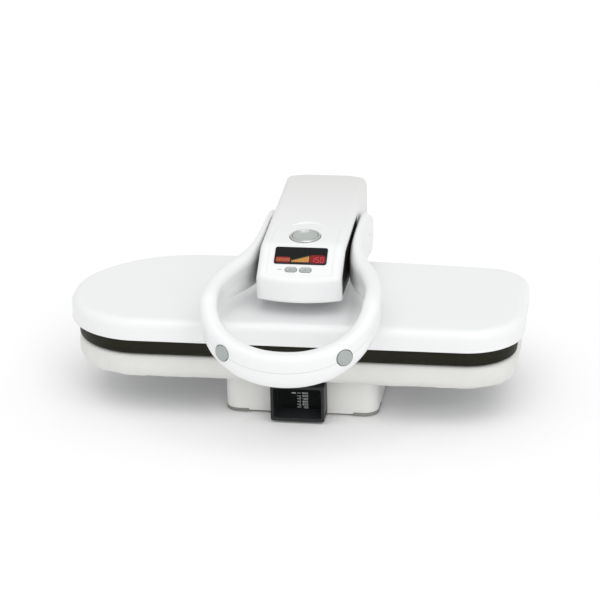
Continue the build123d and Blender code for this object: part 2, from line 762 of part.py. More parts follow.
with BuildPart() as main_switch:
    with BuildSketch(crown(-24.0)):
        Circle(17.0)
    extrude(amount=2.0)
    with BuildSketch(crown(-22.0)):
        Rectangle(8.0, 8.0)
    extrude(amount=6.4)
    with BuildSketch(flat(181.05)):
        with Locations((-12.0, BUTTON_Y), (12.0, BUTTON_Y)):
            Circle(3.0)
    extrude(amount=36.0)

with BuildPart() as main_button_spring:
    with BuildLine() as button_coil:
        Helix(pitch=3.0, height=15.4, radius=9.0, center=crown(-21.2).origin, direction=crown(0).z_dir)
    with BuildSketch(Plane(origin=button_coil.line @ 0, z_dir=button_coil.line % 0)):
        Circle(0.6)
    sweep(path=button_coil.line)

# ================================================================= buttons on the head
with BuildPart() as main_button:
    with BuildSketch(crown(-4.5)):
        Circle(19.2)
    extrude(amount=6.0)
    with BuildSketch(crown(1.5)):
        Circle(16.0)
        Circle(11.0, mode=Mode.SUBTRACT)
    extrude(amount=-0.8, mode=Mode.SUBTRACT)
    with BuildSketch(crown(-4.5)):
        Circle(4.0)
    extrude(amount=-7.0)

with BuildPart() as key_left:
    with BuildSketch(slope(KEY_S, -3.4, KEY_X[0])):
        RectangleRounded(18.5, 8.5, 4.2)
    extrude(amount=4.9)
    with BuildSketch(slope(KEY_S, -3.4, KEY_X[0])):
        Circle(2.0)
    extrude(amount=-4.6)

with BuildPart() as key_right:
    with BuildSketch(slope(KEY_S, -3.4, KEY_X[1])):
        RectangleRounded(18.5, 8.5, 4.2)
    extrude(amount=4.9)
    with BuildSketch(slope(KEY_S, -3.4, KEY_X[1])):
        Circle(2.0)
    extrude(amount=-4.6)

# ================================================================= handle
# middle line of the right half, from the front centre back to the pivot lobe:
# x, y, half thickness, low edge, top edge
def ring_point(deg):
    a = math.radians(deg)
    k = 1 + 0.025 * math.sin(2 * a) ** 2     # slightly squarer than an ellipse
    return (RING_A * k * math.sin(a), RING_Y - RING_B * k * math.cos(a))


# the first two lie past the middle, so that the two halves meet smoothly
STATIONS = [
    (*ring_point(-32), 13.2, 118.0, 166.0),
    (*ring_point(-16), 13.5, 110.8, 159.2),
    (*ring_point(0), 13.5, 108.5, 157.5),
    (*ring_point(16), 13.5, 110.8, 159.2),
    (*ring_point(32), 13.2, 118.0, 166.0),
    (*ring_point(48), 12.8, 130.0, 177.3),
    (*ring_point(62), 12.4, 143.5, 189.5),
    (*ring_point(76), 12.0, 156.5, 201.3),
    (*ring_point(90), 12.0, 167.0, 212.0),
    (108.9, -138.0, 11.4, 172.0, 217.5),
    (96.9, -92.0, 12.2, 171.5, 220.5),
    (79.2, -50.0, 12.4, 170.5, 223.5),
    (71.2, -20.0, 8.2, 170.0, 228.5),
    (68.4, 22.0, 5.6, 167.0, 231.5),
    (68.1, 70.0, 5.4, 163.0, 232.5),
    (68.1, 112.0, 5.4, 158.0, 228.0),
    (68.1, 152.0, 5.4, 148.0, 208.0),
]


def station_plane(i):
    x, y = STATIONS[i][0], STATIONS[i][1]
    if i <= 8:
        a = math.radians((-32, -16, 0, 16, 32, 48, 62, 76, 90)[i])
        tx, ty = RING_A * math.cos(a), RING_B * math.sin(a)
    elif i >= len(STATIONS) - 3:
        tx, ty = 0.0, 1.0
    else:
        tx, ty = STATIONS[i + 1][0] - STATIONS[i - 1][0], STATIONS[i + 1][1] - STATIONS[i - 1][1]
    k = math.hypot(tx, ty)
    # sketch x runs outward, sketch y runs up
    return Plane(origin=(AX + x, AY + y, 0), x_dir=(ty / k, -tx / k, 0), z_dir=(-tx / k, -ty / k, 0))


def band_section(i, low, high, grow, soften):
    """One half-shell's section at station i, between two shares of its height."""
    _, _, w, zb, zt = STATIONS[i]
    z0 = zb + (zt - zb) * low
    z1 = zb + (zt - zb) * high
    w = w - grow
    z0, z1 = z0 + (grow if low == 0 else 0), z1 - (grow if high == 1 else 0)
    r = min(w * 0.8, 9.0)
    with BuildSketch(station_plane(i)) as section:
        with Locations((0, (z0 + z1) / 2)):
            Rectangle(2 * w, z1 - z0)
        if soften:
            row = section.vertices().sort_by(Axis.Y)
            fillet(row[-2:] if high == 1 else row[:2], r)
    return section.sketch


def run_of(section):
    """The right half's solid along all stations; the straight back is lofted by itself."""
    count, seam = len(STATIONS), STATIONS[-3][1]
    with BuildPart() as run:
        loft([section(i) for i in range(count)])
        with BuildSketch(front(seam)):
            Rectangle(700.0, 700.0)
        extrude(amount=-200.0, mode=Mode.SUBTRACT)
        loft([section(i) for i in range(count - 3, count)])
        with BuildSketch(side(0)):
            Rectangle(700.0, 700.0)
        extrude(amount=-150.0, mode=Mode.SUBTRACT)
    return run.part


# steam buttons on the loop's front corners
STEAM_DEG, STEAM_Z, STEAM_TRAVEL = 42.2, 151.0, 2.0


def steam_plane(sign, n):
    """Plane facing outward on the loop at one steam button, n proud of the skin."""
    a = math.radians(STEAM_DEG)
    cx, cy = ring_point(STEAM_DEG)
    nx0, ny0 = RING_B * math.sin(a), -RING_A * math.cos(a)
    k = math.hypot(nx0, ny0)
    nx0, ny0 = nx0 / k, ny0 / k
    d = 12.9 + n
    return Plane(
        origin=(AX + sign * (cx + d * nx0), AY + cy + d * ny0, STEAM_Z),
        x_dir=(-ny0, sign * nx0, 0),
        z_dir=(sign * nx0, ny0, 0),
    )


def lobe_quarter(upper):
    """Back end of a wing: a quarter disc about the handle's pivot."""
    s0 = 0.1 if upper else -0.1
    with BuildSketch(side(62.7)) as quarter:
        with Locations(P2):
            Circle(30.0)
        with Locations((P2[0] - 30.0, P2[1])):
            Rectangle(60.0, 70.0, mode=Mode.SUBTRACT)
        with Locations((P2[0], P2[1] + s0 + (-35.0 if upper else 35.0))):
            Rectangle(80.0, 70.0, mode=Mode.SUBTRACT)
    return quarter.sketch


upper_skin = run_of(lambda i: band_section(i, 0.502, 1.0, 0.0, True))
upper_hollow = run_of(lambda i: band_section(i, 0.5, 1.0, 3.0, False))
with BuildPart() as handle_upper_shell:
    add(upper_skin)
    extrude(lobe_quarter(True), amount=10.8)
    add(upper_hollow, mode=Mode.SUBTRACT)
    with BuildSketch(side(65.7)):
        with Locations(P2):
            Circle(12.0)
    extrude(amount=4.8, mode=Mode.SUBTRACT)
    with BuildSketch(side(60.0)):
        with Locations(P2):
            Circle(6.05)
    extrude(amount=10.6, mode=Mode.SUBTRACT)
    with BuildSketch(steam_plane(1, 6.0)):
        Circle(12.0)
    extrude(amount=-15.0, mode=Mode.SUBTRACT)
    mirror(about=side(0))

lower_skin = run_of(lambda i: band_section(i, 0.0, 0.498, 0.0, True))
lower_hollow = run_of(lambda i: band_section(i, 0.0, 0.5, 3.0, False))
with BuildPart() as handle_lower_shell:
    add(lower_skin)
    extrude(lobe_quarter(False), amount=10.8)
    add(lower_hollow, mode=Mode.SUBTRACT)
    with BuildSketch(side(65.7)):
        with Locations(P2):
            Circle(12.0)
    extrude(amount=4.8, mode=Mode.SUBTRACT)
    with BuildSketch(side(60.0)):
        with Locations(P2):
            Circle(6.05)
    extrude(amount=10.6, mode=Mode.SUBTRACT)
    with BuildSketch(steam_plane(1, 6.0)):
        Circle(12.0)
    extrude(amount=-15.0, mode=Mode.SUBTRACT)
    mirror(about=side(0))


def strap_section(i):
    _, _, w, zb, zt = STATIONS[i]
    with BuildSketch(station_plane(i)) as section:
        with Locations((0, (zb + zt) / 2)):
            Rectangle(3.0, 16.0)
    return section.sketch


strap = run_of(strap_section)
with BuildPart() as handle_frame:
    add(strap)
    with BuildSketch(side(66.6)):
        with Locations(P2):
            Circle(11.0)
    extrude(amount=3.0)
    with BuildSketch(side(60.0)):
        with Locations(P2):
            Circle(6.02)
    extrude(amount=15.0, mode=Mode.SUBTRACT)
    mirror(about=side(0))

with BuildPart() as handle_shafts:
    # pivot stub, crank and roller pin of each side
    with BuildSketch(side(42.0)):
        with Locations(P2):
            Circle(6.0)
    extrude(amount=28.2)
    with BuildSketch(side(42.0)):
        with Locations(P2):
            Circle(10.0)
        with Locations(C0):
            Circle(8.0)
        make_hull()
    extrude(amount=4.0)
    with BuildSketch(side(42.5)):
        with Locations(C0):
            Circle(2.5)
    extrude(amount=-8.0)
    with BuildSketch(side(33.6)):
        with Locations(C0):
            Circle(3.8)
    extrude(amount=1.2)
    mirror(about=side(0))

with BuildPart() as cam_rollers:
    with BuildSketch(side(35.7)):
        with Locations(C0):
            Circle(ROLLER_R)
            Circle(2.55, mode=Mode.SUBTRACT)
    extrude(amount=4.7)
    mirror(about=side(0))

with BuildPart() as steam_switches:
    for sign in (-1, 1):
        with BuildSketch(steam_plane(sign, -11.3)):
            Rectangle(6.0, 6.0)
        extrude(amount=2.4)

with BuildPart() as steam_button_springs:
    for sign in (-1, 1):
        with BuildLine() as steam_coil:
            Helix(
                pitch=1.6, height=4.8, radius=5.6,
                center=steam_plane(sign, -10.7).origin, direction=steam_plane(sign, 0).z_dir,
            )
        with BuildSketch(Plane(origin=steam_coil.line @ 0, z_dir=steam_coil.line % 0)):
            Circle(0.4)
        sweep(path=steam_coil.line)

with BuildPart() as steam_button_left:
    with BuildSketch(steam_plane(-1, -5.4)):
        Circle(11.6)
    extrude(amount=7.0)
    fillet(steam_button_left.faces().sort_by(Axis((0, 0, 0), steam_plane(-1, 0).z_dir))[-1].edges(), 1.4)
    with BuildSketch(steam_plane(-1, -5.4)):
        Circle(2.6)
    extrude(amount=-1.2)

with BuildPart() as steam_button_right:
    with BuildSketch(steam_plane(1, -5.4)):
        Circle(11.6)
    extrude(amount=7.0)
    fillet(steam_button_right.faces().sort_by(Axis((0, 0, 0), steam_plane(1, 0).z_dir))[-1].edges(), 1.4)
    with BuildSketch(steam_plane(1, -5.4)):
        Circle(2.6)
    extrude(amount=-1.2)

PIECES = {
    "base_housing": base_housing,
    "base_plate": base_plate,
    "rubber_feet": rubber_feet,
    "base_screws": base_screws,
    "column_frame": column_frame,
    "column_bolts": column_bolts,
    "column_cover": column_cover,
    "pivot_shaft": pivot_shaft,
    "retaining_rings": retaining_rings,
    "counterbalance_springs": counterbalance_springs,
    "board_spacers": board_spacers,
    "board_tray": board_tray,
    "board_pad": board_pad,
    "board_cover": board_cover,
    "tank_coupling": tank_coupling,
    "water_pump": water_pump,
    "water_hose": water_hose,
    "power_board": power_board,
    "cord_gland": cord_gland,
    "water_tank": water_tank,
    "tank_lid": tank_lid,
    "tank_plug": tank_plug,
    "tank_valve": tank_valve,
    "tank_front": tank_front,
    "tank_window": tank_window,
    "arm_frame": arm_frame,
    "pivot_bushes": pivot_bushes,
    "handle_bushes": handle_bushes,
    "head_cover": head_cover,
    "head_side_panels": head_side_panels,
    "head_lower_cover": head_lower_cover,
    "neck_cover": neck_cover,
    "platen_cover": platen_cover,
    "heat_skirt": heat_skirt,
    "heating_plate": heating_plate,
    "heating_element": heating_element,
    "steam_chamber_lid": steam_chamber_lid,
    "thermostats": thermostats,
    "insulation_sheet": insulation_sheet,
    "mount_spacers": mount_spacers,
    "platen_bolts": platen_bolts,
    "control_panel": control_panel,
    "display_window": display_window,
    "display_module": display_module,
    "control_board": control_board,
    "button_bezel": button_bezel,
    "main_switch": main_switch,
    "main_button_spring": main_button_spring,
    "main_button": main_button,
    "key_left": key_left,
    "key_right": key_right,
    "handle_upper_shell": handle_upper_shell,
    "handle_lower_shell": handle_lower_shell,
    "handle_frame": handle_frame,
    "handle_shafts": handle_shafts,
    "cam_rollers": cam_rollers,
    "steam_switches": steam_switches,
    "steam_button_springs": steam_button_springs,
    "steam_button_left": steam_button_left,
    "steam_button_right": steam_button_right,
}

low, high = [1e9] * 3, [-1e9] * 3
for label, piece in PIECES.items():
    piece.part.label = label
    export_step(piece.part, f"parts/{label}.step")
    box = piece.part.bounding_box()
    print(label, len(piece.part.solids()), round(piece.part.volume), piece.part.is_valid, box.min, box.max)
    low = [min(a, b) for a, b in zip(low, tuple(box.min))]
    high = [max(a, b) for a, b in zip(high, tuple(box.max))]
print("whole press", [round(v, 3) for v in low], [round(v, 3) for v in high])
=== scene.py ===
import json
import math
import random

import bmesh
import bpy
from mathutils import Matrix, Vector, noise
from mathutils.kdtree import KDTree


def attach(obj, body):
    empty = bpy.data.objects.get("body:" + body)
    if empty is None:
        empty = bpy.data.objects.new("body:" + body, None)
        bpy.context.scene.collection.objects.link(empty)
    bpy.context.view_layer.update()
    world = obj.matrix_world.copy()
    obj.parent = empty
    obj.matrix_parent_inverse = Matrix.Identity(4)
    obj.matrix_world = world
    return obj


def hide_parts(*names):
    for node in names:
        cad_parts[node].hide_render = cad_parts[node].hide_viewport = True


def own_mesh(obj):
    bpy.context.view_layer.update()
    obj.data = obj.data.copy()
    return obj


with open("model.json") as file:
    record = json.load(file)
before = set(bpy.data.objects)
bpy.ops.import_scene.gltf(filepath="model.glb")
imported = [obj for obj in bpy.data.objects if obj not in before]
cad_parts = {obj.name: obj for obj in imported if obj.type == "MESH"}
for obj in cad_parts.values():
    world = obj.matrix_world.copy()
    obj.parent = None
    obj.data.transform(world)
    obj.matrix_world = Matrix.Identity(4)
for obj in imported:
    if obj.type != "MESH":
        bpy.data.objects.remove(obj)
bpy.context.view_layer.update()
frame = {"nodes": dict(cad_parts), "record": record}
NODE = frame["nodes"]
scene = bpy.context.scene

# Shapes below are laid out in millimetres about the arm's middle plane, as the CAD is.
AX, AY = 14.0, 22.0


def at(x, y, z):
    """A point of that layout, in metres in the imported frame."""
    return Vector(((AX + x) / 1000.0, (AY + y) / 1000.0, z / 1000.0))


# ---------------------------------------------------------------- camera
def make_camera():
    data = bpy.data.cameras.new("main_camera")
    data.sensor_width = 36.0
    data.sensor_fit = "HORIZONTAL"
    data.lens = 144.0
    data.clip_start = 0.05
    data.clip_end = 60.0
    turn, tip, roll = math.radians(9.0), math.radians(22.0), math.radians(-1.35)
    back = Vector((math.sin(turn) * math.cos(tip), -math.cos(turn) * math.cos(tip), math.sin(tip)))
    right = Vector((math.cos(turn), math.sin(turn), 0.0))
    up = back.cross(right)
    across = right * math.cos(roll) + up * math.sin(roll)
    upward = up * math.cos(roll) - right * math.sin(roll)
    place = Matrix((across, upward, back)).transposed().to_4x4()
    place.translation = at(-14.0, 0.0, 132.0) + back * 3.45
    camera = bpy.data.objects.new("main_camera", data)
    scene.collection.objects.link(camera)
    camera.matrix_world = place
    scene.camera = camera
    bpy.context.scene.camera = camera


make_camera()


# ---------------------------------------------------------------- materials
class Paint:
    """A procedural material, built node by node."""

    def __init__(self, name, **fixed):
        self.mat = bpy.data.materials.new(name)
        self.mat.use_nodes = True
        self.tree = self.mat.node_tree
        self.tree.nodes.clear()
        out = self.new("ShaderNodeOutputMaterial")
        self.bsdf = self.new("ShaderNodeBsdfPrincipled")
        self.join(self.bsdf.outputs["BSDF"], out.inputs["Surface"])
        coords = self.new("ShaderNodeTexCoord")
        self.here = coords.outputs["Object"]
        self.facing = coords.outputs["Normal"]
        self.set(**fixed)

    def set(self, **fixed):
        for key, value in fixed.items():
            self.bsdf.inputs[key.replace("_", " ")].default_value = value

    def new(self, kind, **props):
        node = self.tree.nodes.new(kind)
        for key, value in props.items():
            setattr(node, key, value)
        return node

    def join(self, a, b):
        self.tree.links.new(a, b)

    def feed(self, socket, value):
        if isinstance(value, bpy.types.NodeSocket):
            self.join(value, socket)
        else:
            socket.default_value = value

    def maths(self, operation, a, b=None, c=None, clamp=False):
        node = self.new("ShaderNodeMath", operation=operation, use_clamp=clamp)
        for i, value in enumerate((a, b, c)):
            if value is not None:
                self.feed(node.inputs[i], value)
        return node.outputs[0]

    def stretched(self, x, y, z):
        node = self.new("ShaderNodeMapping")
        self.join(self.here, node.inputs["Vector"])
        node.inputs["Scale"].default_value = (x, y, z)
        return node.outputs["Vector"]

    def noise(self, scale, detail=3.0, rough=0.55, warp=0.0, vector=None):
        node = self.new("ShaderNodeTexNoise")
        self.join(vector or self.here, node.inputs["Vector"])
        node.inputs["Scale"].default_value = scale
        node.inputs["Detail"].default_value = detail
        node.inputs["Roughness"].default_value = rough
        node.inputs["Distortion"].default_value = warp
        return node.outputs[0]

    def cells(self, scale, feature="F1", vector=None):
        node = self.new("ShaderNodeTexVoronoi", feature=feature)
        self.join(vector or self.here, node.inputs["Vector"])
        node.inputs["Scale"].default_value = scale
        return node.outputs["Distance"]

    def span(self, value, low, high, to_low=0.0, to_high=1.0):
        node = self.new("ShaderNodeMapRange", clamp=True)
        self.feed(node.inputs["Value"], value)
        node.inputs["From Min"].default_value = low
        node.inputs["From Max"].default_value = high
        node.inputs["To Min"].default_value = to_low
        node.inputs["To Max"].default_value = to_high
        return node.outputs["Result"]

    def ramp(self, fac, *stops):
        node = self.new("ShaderNodeValToRGB")
        band = node.color_ramp
        while len(band.elements) < len(stops):
            band.elements.new(0.5)
        for element, (place, colour) in zip(band.elements, stops):
            element.position = place
            element.color = (*colour, 1.0)
        self.join(fac, node.inputs["Fac"])
        return node.outputs["Color"]

    def mix(self, fac, a, b, mode="MIX"):
        node = self.new("ShaderNodeMix", data_type="RGBA", blend_type=mode)
        self.feed(node.inputs[0], fac)
        self.feed(node.inputs[6], a if isinstance(a, bpy.types.NodeSocket) else (*a, 1.0))
        self.feed(node.inputs[7], b if isinstance(b, bpy.types.NodeSocket) else (*b, 1.0))
        return node.outputs[2]

    def bump(self, height, strength, distance, under=None):
        node = self.new("ShaderNodeBump")
        self.join(height, node.inputs["Height"])
        node.inputs["Strength"].default_value = strength
        node.inputs["Distance"].default_value = distance
        if under is not None:
            self.join(under, node.inputs["Normal"])
        return node.outputs["Normal"]

    def soft_edges(self, radius, samples=4):
        """The normal of gently rounded edges, and how near a point is to an edge, from 0 to 1."""
        rounded = self.new("ShaderNodeBevel", samples=samples)
        rounded.inputs["Radius"].default_value = radius
        plain = self.new("ShaderNodeNewGeometry")
        dot = self.new("ShaderNodeVectorMath", operation="DOT_PRODUCT")
        self.join(rounded.outputs["Normal"], dot.inputs[0])
        self.join(plain.outputs["Normal"], dot.inputs[1])
        near = self.span(dot.outputs["Value"], 0.995, 0.78)
        return rounded.outputs["Normal"], near

    def finish(self, colour, rough, normal=None):
        self.feed(self.bsdf.inputs["Base Color"], colour)
        self.feed(self.bsdf.inputs["Roughness"], rough)
        if normal is not None:
            self.join(normal, self.bsdf.inputs["Normal"])
        return self.mat


def moulded(name, tone, rough, grain=900.0, grain_depth=0.00003, grain_strength=0.12, wave=0.00005,
            edge=0.0007, worn=None, worn_share=0.35, mottle=0.03, rough_swing=0.06, hair_share=0.05, cellular=False,
            painted_depth_shade=None, **fixed):
    """Moulded plastic: mould grain, faint flow marks, handling marks, lightly polished edges and, where asked, a
    painted shade that greys the tone with depth.
    """
    p = Paint(name, **fixed)
    cloud = p.noise(14.0, 4.0, 0.6, 0.4)
    fine = p.noise(220.0, 3.0, 0.6)
    dark = tuple(c * (1.0 - mottle) for c in tone)
    light = tuple(min(1.0, c * (1.0 + mottle * 0.6)) for c in tone)
    colour = p.mix(p.span(cloud, 0.3, 0.7), dark, light)
    colour = p.mix(p.span(fine, 0.62, 0.8, 0.0, 0.35), colour, tuple(c * (1.0 - 2.2 * mottle) for c in tone))
    if painted_depth_shade is not None:
        # painted shade: the tone greys towards the given darker colour from front to rear, standing in for the head's
        # top falling into shade towards the back
        y0, y1, other = painted_depth_shade
        split = p.new("ShaderNodeSeparateXYZ")
        p.join(p.here, split.inputs[0])
        colour = p.mix(p.span(split.outputs[1], y0, y1), colour, other)
    rounded, near = p.soft_edges(edge)
    if worn is not None:
        rub = p.maths("MULTIPLY", near, p.span(p.noise(90.0, 4.0, 0.7), 0.42, 0.66))
        colour = p.mix(p.maths("MULTIPLY", rub, worn_share), colour, worn)
    smudge = p.noise(9.0, 5.0, 0.65, 1.2)
    hair = p.noise(60.0, 6.0, 0.75, vector=p.stretched(1.0, 14.0, 5.0))
    gloss = p.span(smudge, 0.32, 0.7, rough - rough_swing, rough + rough_swing)
    gloss = p.maths("ADD", gloss, p.span(hair, 0.6, 0.78, 0.0, hair_share))
    gloss = p.maths("ADD", gloss, p.maths("MULTIPLY", near, -0.05), clamp=True)
    if cellular:
        skin = p.maths("ADD", p.cells(grain), p.maths("MULTIPLY", p.noise(grain * 2.3, 2.0), 0.6))
    else:
        skin = p.noise(grain, 3.0, 0.7)
    normal = p.bump(p.noise(26.0, 2.0, 0.5), 0.35, wave, rounded)
    normal = p.bump(skin, grain_strength, grain_depth, normal)
    return p.finish(colour, gloss, normal)


def metal(name, tone, rough, brush=(1.0, 1.0, 30.0), edge=0.0005, stain=None, stain_share=0.25, swing=0.08, **fixed):
    """Plated, ground or cast metal, with brush lines and patches of tarnish."""
    p = Paint(name, Metallic=1.0, **fixed)
    patch = p.noise(38.0, 5.0, 0.65, 0.6)
    lines = p.noise(160.0, 3.0, 0.7, vector=p.stretched(*brush))
    dark = tuple(c * 0.86 for c in tone)
    colour = p.mix(p.span(lines, 0.3, 0.7), dark, tone)
    if stain is not None:
        colour = p.mix(p.span(patch, 0.52, 0.74, 0.0, stain_share), colour, stain)
    rounded, near = p.soft_edges(edge)
    colour = p.mix(p.maths("MULTIPLY", near, 0.5), colour, tuple(min(1.0, c * 1.15) for c in tone))
    gloss = p.span(patch, 0.3, 0.72, rough - swing, rough + swing)
    gloss = p.maths("ADD", gloss, p.span(lines, 0.4, 0.75, 0.0, 0.1), clamp=True)
    normal = p.bump(lines, 0.18, 0.00004, rounded)
    return p.finish(colour, gloss, normal)


def woven(name, tone, shade, pitch, rough=0.85, depth=0.0002, strength=0.5, sheen=0.25, blotch=0.06):
    """Plain weave laid over the surface from three sides, with uneven threads and faint scorching."""
    p = Paint(name)
    p.set(Sheen_Weight=sheen, Sheen_Roughness=0.55)
    p.bsdf.inputs["Specular IOR Level"].default_value = 0.18
    split = p.new("ShaderNodeSeparateXYZ")
    waver = p.new("ShaderNodeVectorMath", operation="ADD")
    drift = p.new("ShaderNodeTexNoise")
    p.join(p.here, drift.inputs["Vector"])
    drift.inputs["Scale"].default_value = 45.0
    scale = p.new("ShaderNodeVectorMath", operation="SCALE")
    p.join(drift.outputs["Color"], scale.inputs[0])
    scale.inputs["Scale"].default_value = pitch * 1.6
    p.join(p.here, waver.inputs[0])
    p.join(scale.outputs[0], waver.inputs[1])
    p.join(waver.outputs[0], split.inputs[0])
    face = p.new("ShaderNodeSeparateXYZ")
    p.join(p.facing, face.inputs[0])
    k = math.pi / pitch
    wave = {}
    for i in range(3):
        turned = p.maths("MULTIPLY", split.outputs[i], k)
        wave[i] = p.maths("SINE", turned)
    threads, total = None, None
    for i, (u, v) in enumerate(((1, 2), (0, 2), (0, 1))):
        over = p.maths("GREATER_THAN", p.maths("MULTIPLY", wave[u], wave[v]), 0.0)
        warp = p.maths("ABSOLUTE", wave[u])
        weft = p.maths("ABSOLUTE", wave[v])
        gap = p.maths("SUBTRACT", warp, weft)
        height = p.maths("MULTIPLY_ADD", over, gap, weft)
        weight = p.maths("POWER", p.maths("ABSOLUTE", face.outputs[i]), 4.0)
        part = p.maths("MULTIPLY", height, weight)
        threads = part if threads is None else p.maths("ADD", threads, part)
        total = weight if total is None else p.maths("ADD", total, weight)
    threads = p.maths("DIVIDE", threads, total)
    fluff = p.noise(1400.0, 2.0, 0.6)
    blot = p.noise(11.0, 4.0, 0.6, 0.8)
    colour = p.mix(p.span(threads, 0.15, 0.75), shade, tone)
    colour = p.mix(p.span(blot, 0.42, 0.72, 0.0, blotch * 3.0), colour, tuple(c * (1.0 - blotch) for c in shade))
    colour = p.mix(p.span(fluff, 0.5, 0.8, 0.0, 0.12), colour, tone)
    normal = p.bump(p.noise(60.0, 3.0, 0.6), 0.35, 0.0004)
    normal = p.bump(threads, strength, depth, normal)
    normal = p.bump(fluff, 0.2, 0.0001, normal)
    return p.finish(colour, p.span(blot, 0.3, 0.7, rough - 0.04, rough + 0.05), normal)


def make_materials():
    made = {}
    made["white_shell"] = moulded(
        "white_shell", (0.835, 0.842, 0.845), 0.34, grain=1300.0, grain_depth=0.000006, grain_strength=0.06,
        wave=0.000012, edge=0.0008, worn=(0.88, 0.885, 0.885), worn_share=0.5, mottle=0.006, rough_swing=0.03,
        hair_share=0.012, Coat_Weight=0.2, Coat_Roughness=0.22, IOR=1.48,
    )
    # the head's copy of white_shell, with painted shade greying its top towards the rear
    made["white_head"] = moulded(
        "white_head", (0.835, 0.842, 0.845), 0.34, grain=1300.0, grain_depth=0.000006, grain_strength=0.06,
        wave=0.000012, edge=0.0008, worn=(0.88, 0.885, 0.885), worn_share=0.5, mottle=0.006, rough_swing=0.03,
        hair_share=0.012, painted_depth_shade=(-0.035, 0.22, (0.70, 0.70, 0.69)), Coat_Weight=0.2, Coat_Roughness=0.22, IOR=1.48,
    )
    made["white_base"] = moulded(
        "white_base", (0.83, 0.828, 0.806), 0.50, grain=1500.0, grain_depth=0.00008, grain_strength=0.25,
        wave=0.00003, edge=0.0008, worn=(0.88, 0.878, 0.86), worn_share=0.5, mottle=0.02, rough_swing=0.05,
        cellular=True, IOR=1.47,
    )
    made["dark_skirt"] = moulded(
        "dark_skirt", (0.017, 0.0165, 0.009), 0.50, grain=1300.0, grain_depth=0.00005, grain_strength=0.2,
        edge=0.0006, worn=(0.05, 0.049, 0.034), worn_share=0.6, mottle=0.14, rough_swing=0.09, Specular_IOR_Level=0.13,
    )
    made["coated_plate"] = moulded(
        "coated_plate", (0.014, 0.0138, 0.008), 0.45, grain=1900.0, grain_depth=0.00005, grain_strength=0.3,
        edge=0.0006, worn=(0.09, 0.087, 0.07), worn_share=0.5, mottle=0.18, rough_swing=0.1, cellular=True, Specular_IOR_Level=0.13,
    )
    made["grey_rubber"] = moulded(
        "grey_rubber", (0.27, 0.267, 0.245), 0.72, grain=800.0, grain_depth=0.0001, grain_strength=0.35,
        edge=0.0008, worn=(0.38, 0.375, 0.35), worn_share=0.5, mottle=0.10, rough_swing=0.06,
    )
    made["black_rubber"] = moulded(
        "black_rubber", (0.022, 0.022, 0.022), 0.66, grain=900.0, grain_depth=0.0001, grain_strength=0.35,
        edge=0.0006, worn=(0.07, 0.07, 0.07), worn_share=0.5, mottle=0.15, rough_swing=0.08,
    )
    made["tank_dark"] = moulded(
        "tank_dark", (0.017, 0.0185, 0.0195), 0.40, grain=1400.0, grain_depth=0.00004, grain_strength=0.2,
        edge=0.0009, worn=(0.07, 0.073, 0.078), worn_share=0.7, mottle=0.1, rough_swing=0.08, Specular_IOR_Level=0.3,
    )
    made["tank_gloss"] = moulded(
        "tank_gloss", (0.0022, 0.0026, 0.0030), 0.20, grain=900.0, grain_depth=0.00001, grain_strength=0.05,
        edge=0.0005, worn=(0.03, 0.032, 0.036), worn_share=0.5, mottle=0.1, rough_swing=0.03,
        Specular_IOR_Level=0.08,
    )
    made["tank_clear"] = moulded(
        "tank_clear", (0.004, 0.0045, 0.0055), 0.16, grain=700.0, grain_depth=0.00002, grain_strength=0.08,
        edge=0.0005, worn=(0.02, 0.022, 0.026), worn_share=0.5, mottle=0.1, rough_swing=0.03,
        Specular_IOR_Level=0.2,
    )
    made["button_grey"] = moulded(
        "button_grey", (0.40, 0.435, 0.42), 0.32, grain=1500.0, grain_depth=0.00003, grain_strength=0.18,
        edge=0.0007, worn=(0.62, 0.64, 0.63), worn_share=0.6, mottle=0.05, rough_swing=0.06,
        Metallic=0.25, IOR=1.5,
    )
    made["button_silver"] = moulded(
        "button_silver", (0.485, 0.52, 0.50), 0.26, grain=1500.0, grain_depth=0.00002, grain_strength=0.14,
        edge=0.0007, worn=(0.68, 0.70, 0.69), worn_share=0.6, mottle=0.05, rough_swing=0.05,
        Metallic=0.35, IOR=1.5,
    )
    made["display_black"] = moulded(
        "display_black", (0.006, 0.006, 0.007), 0.08, grain=900.0, grain_depth=0.00001, grain_strength=0.04,
        edge=0.0005, mottle=0.2, rough_swing=0.03, Specular_IOR_Level=0.22,
    )
    made["board_green"] = moulded(
        "board_green", (0.02, 0.11, 0.05), 0.35, grain=500.0, grain_depth=0.00006, grain_strength=0.3, mottle=0.2,
    )
    made["steel"] = metal("steel", (0.60, 0.61, 0.62), 0.34, stain=(0.42, 0.40, 0.36))
    made["bright_steel"] = metal("bright_steel", (0.78, 0.79, 0.80), 0.18, swing=0.06)
    made["bronze"] = metal("bronze", (0.60, 0.43, 0.22), 0.38, stain=(0.36, 0.22, 0.10), stain_share=0.4)
    made["cast_aluminium"] = metal(
        "cast_aluminium", (0.58, 0.58, 0.58), 0.42, brush=(1.0, 1.0, 1.0), stain=(0.44, 0.44, 0.43), stain_share=0.5
    )
    made["bezel_silver"] = metal("bezel_silver", (0.66, 0.69, 0.68), 0.24, brush=(1.0, 18.0, 1.0), swing=0.06)
    made["pad_fabric"] = woven("pad_fabric", (0.765, 0.762, 0.742), (0.655, 0.652, 0.630), 0.0011)
    made["insulation"] = woven("insulation", (0.70, 0.69, 0.64), (0.55, 0.53, 0.47), 0.002)
    foam = Paint("foam", Sheen_Weight=0.2)
    pores = foam.cells(900.0)
    made["foam"] = foam.finish(
        foam.mix(foam.span(pores, 0.1, 0.6), (0.42, 0.38, 0.25), (0.74, 0.70, 0.55)),
        foam.span(foam.noise(60.0), 0.3, 0.7, 0.85, 0.95), foam.bump(pores, 0.8, 0.0006),
    )
    return made


MAT = make_materials()
RECORD = frame["record"]
SLOT_OF = {part["node"]: part["material_slot"] for part in RECORD["subparts"]}
for label, obj in NODE.items():
    wanted = MAT[SLOT_OF[label]]
    if not obj.material_slots:
        obj.data.materials.append(wanted)
    for one in obj.material_slots:
        one.material = wanted


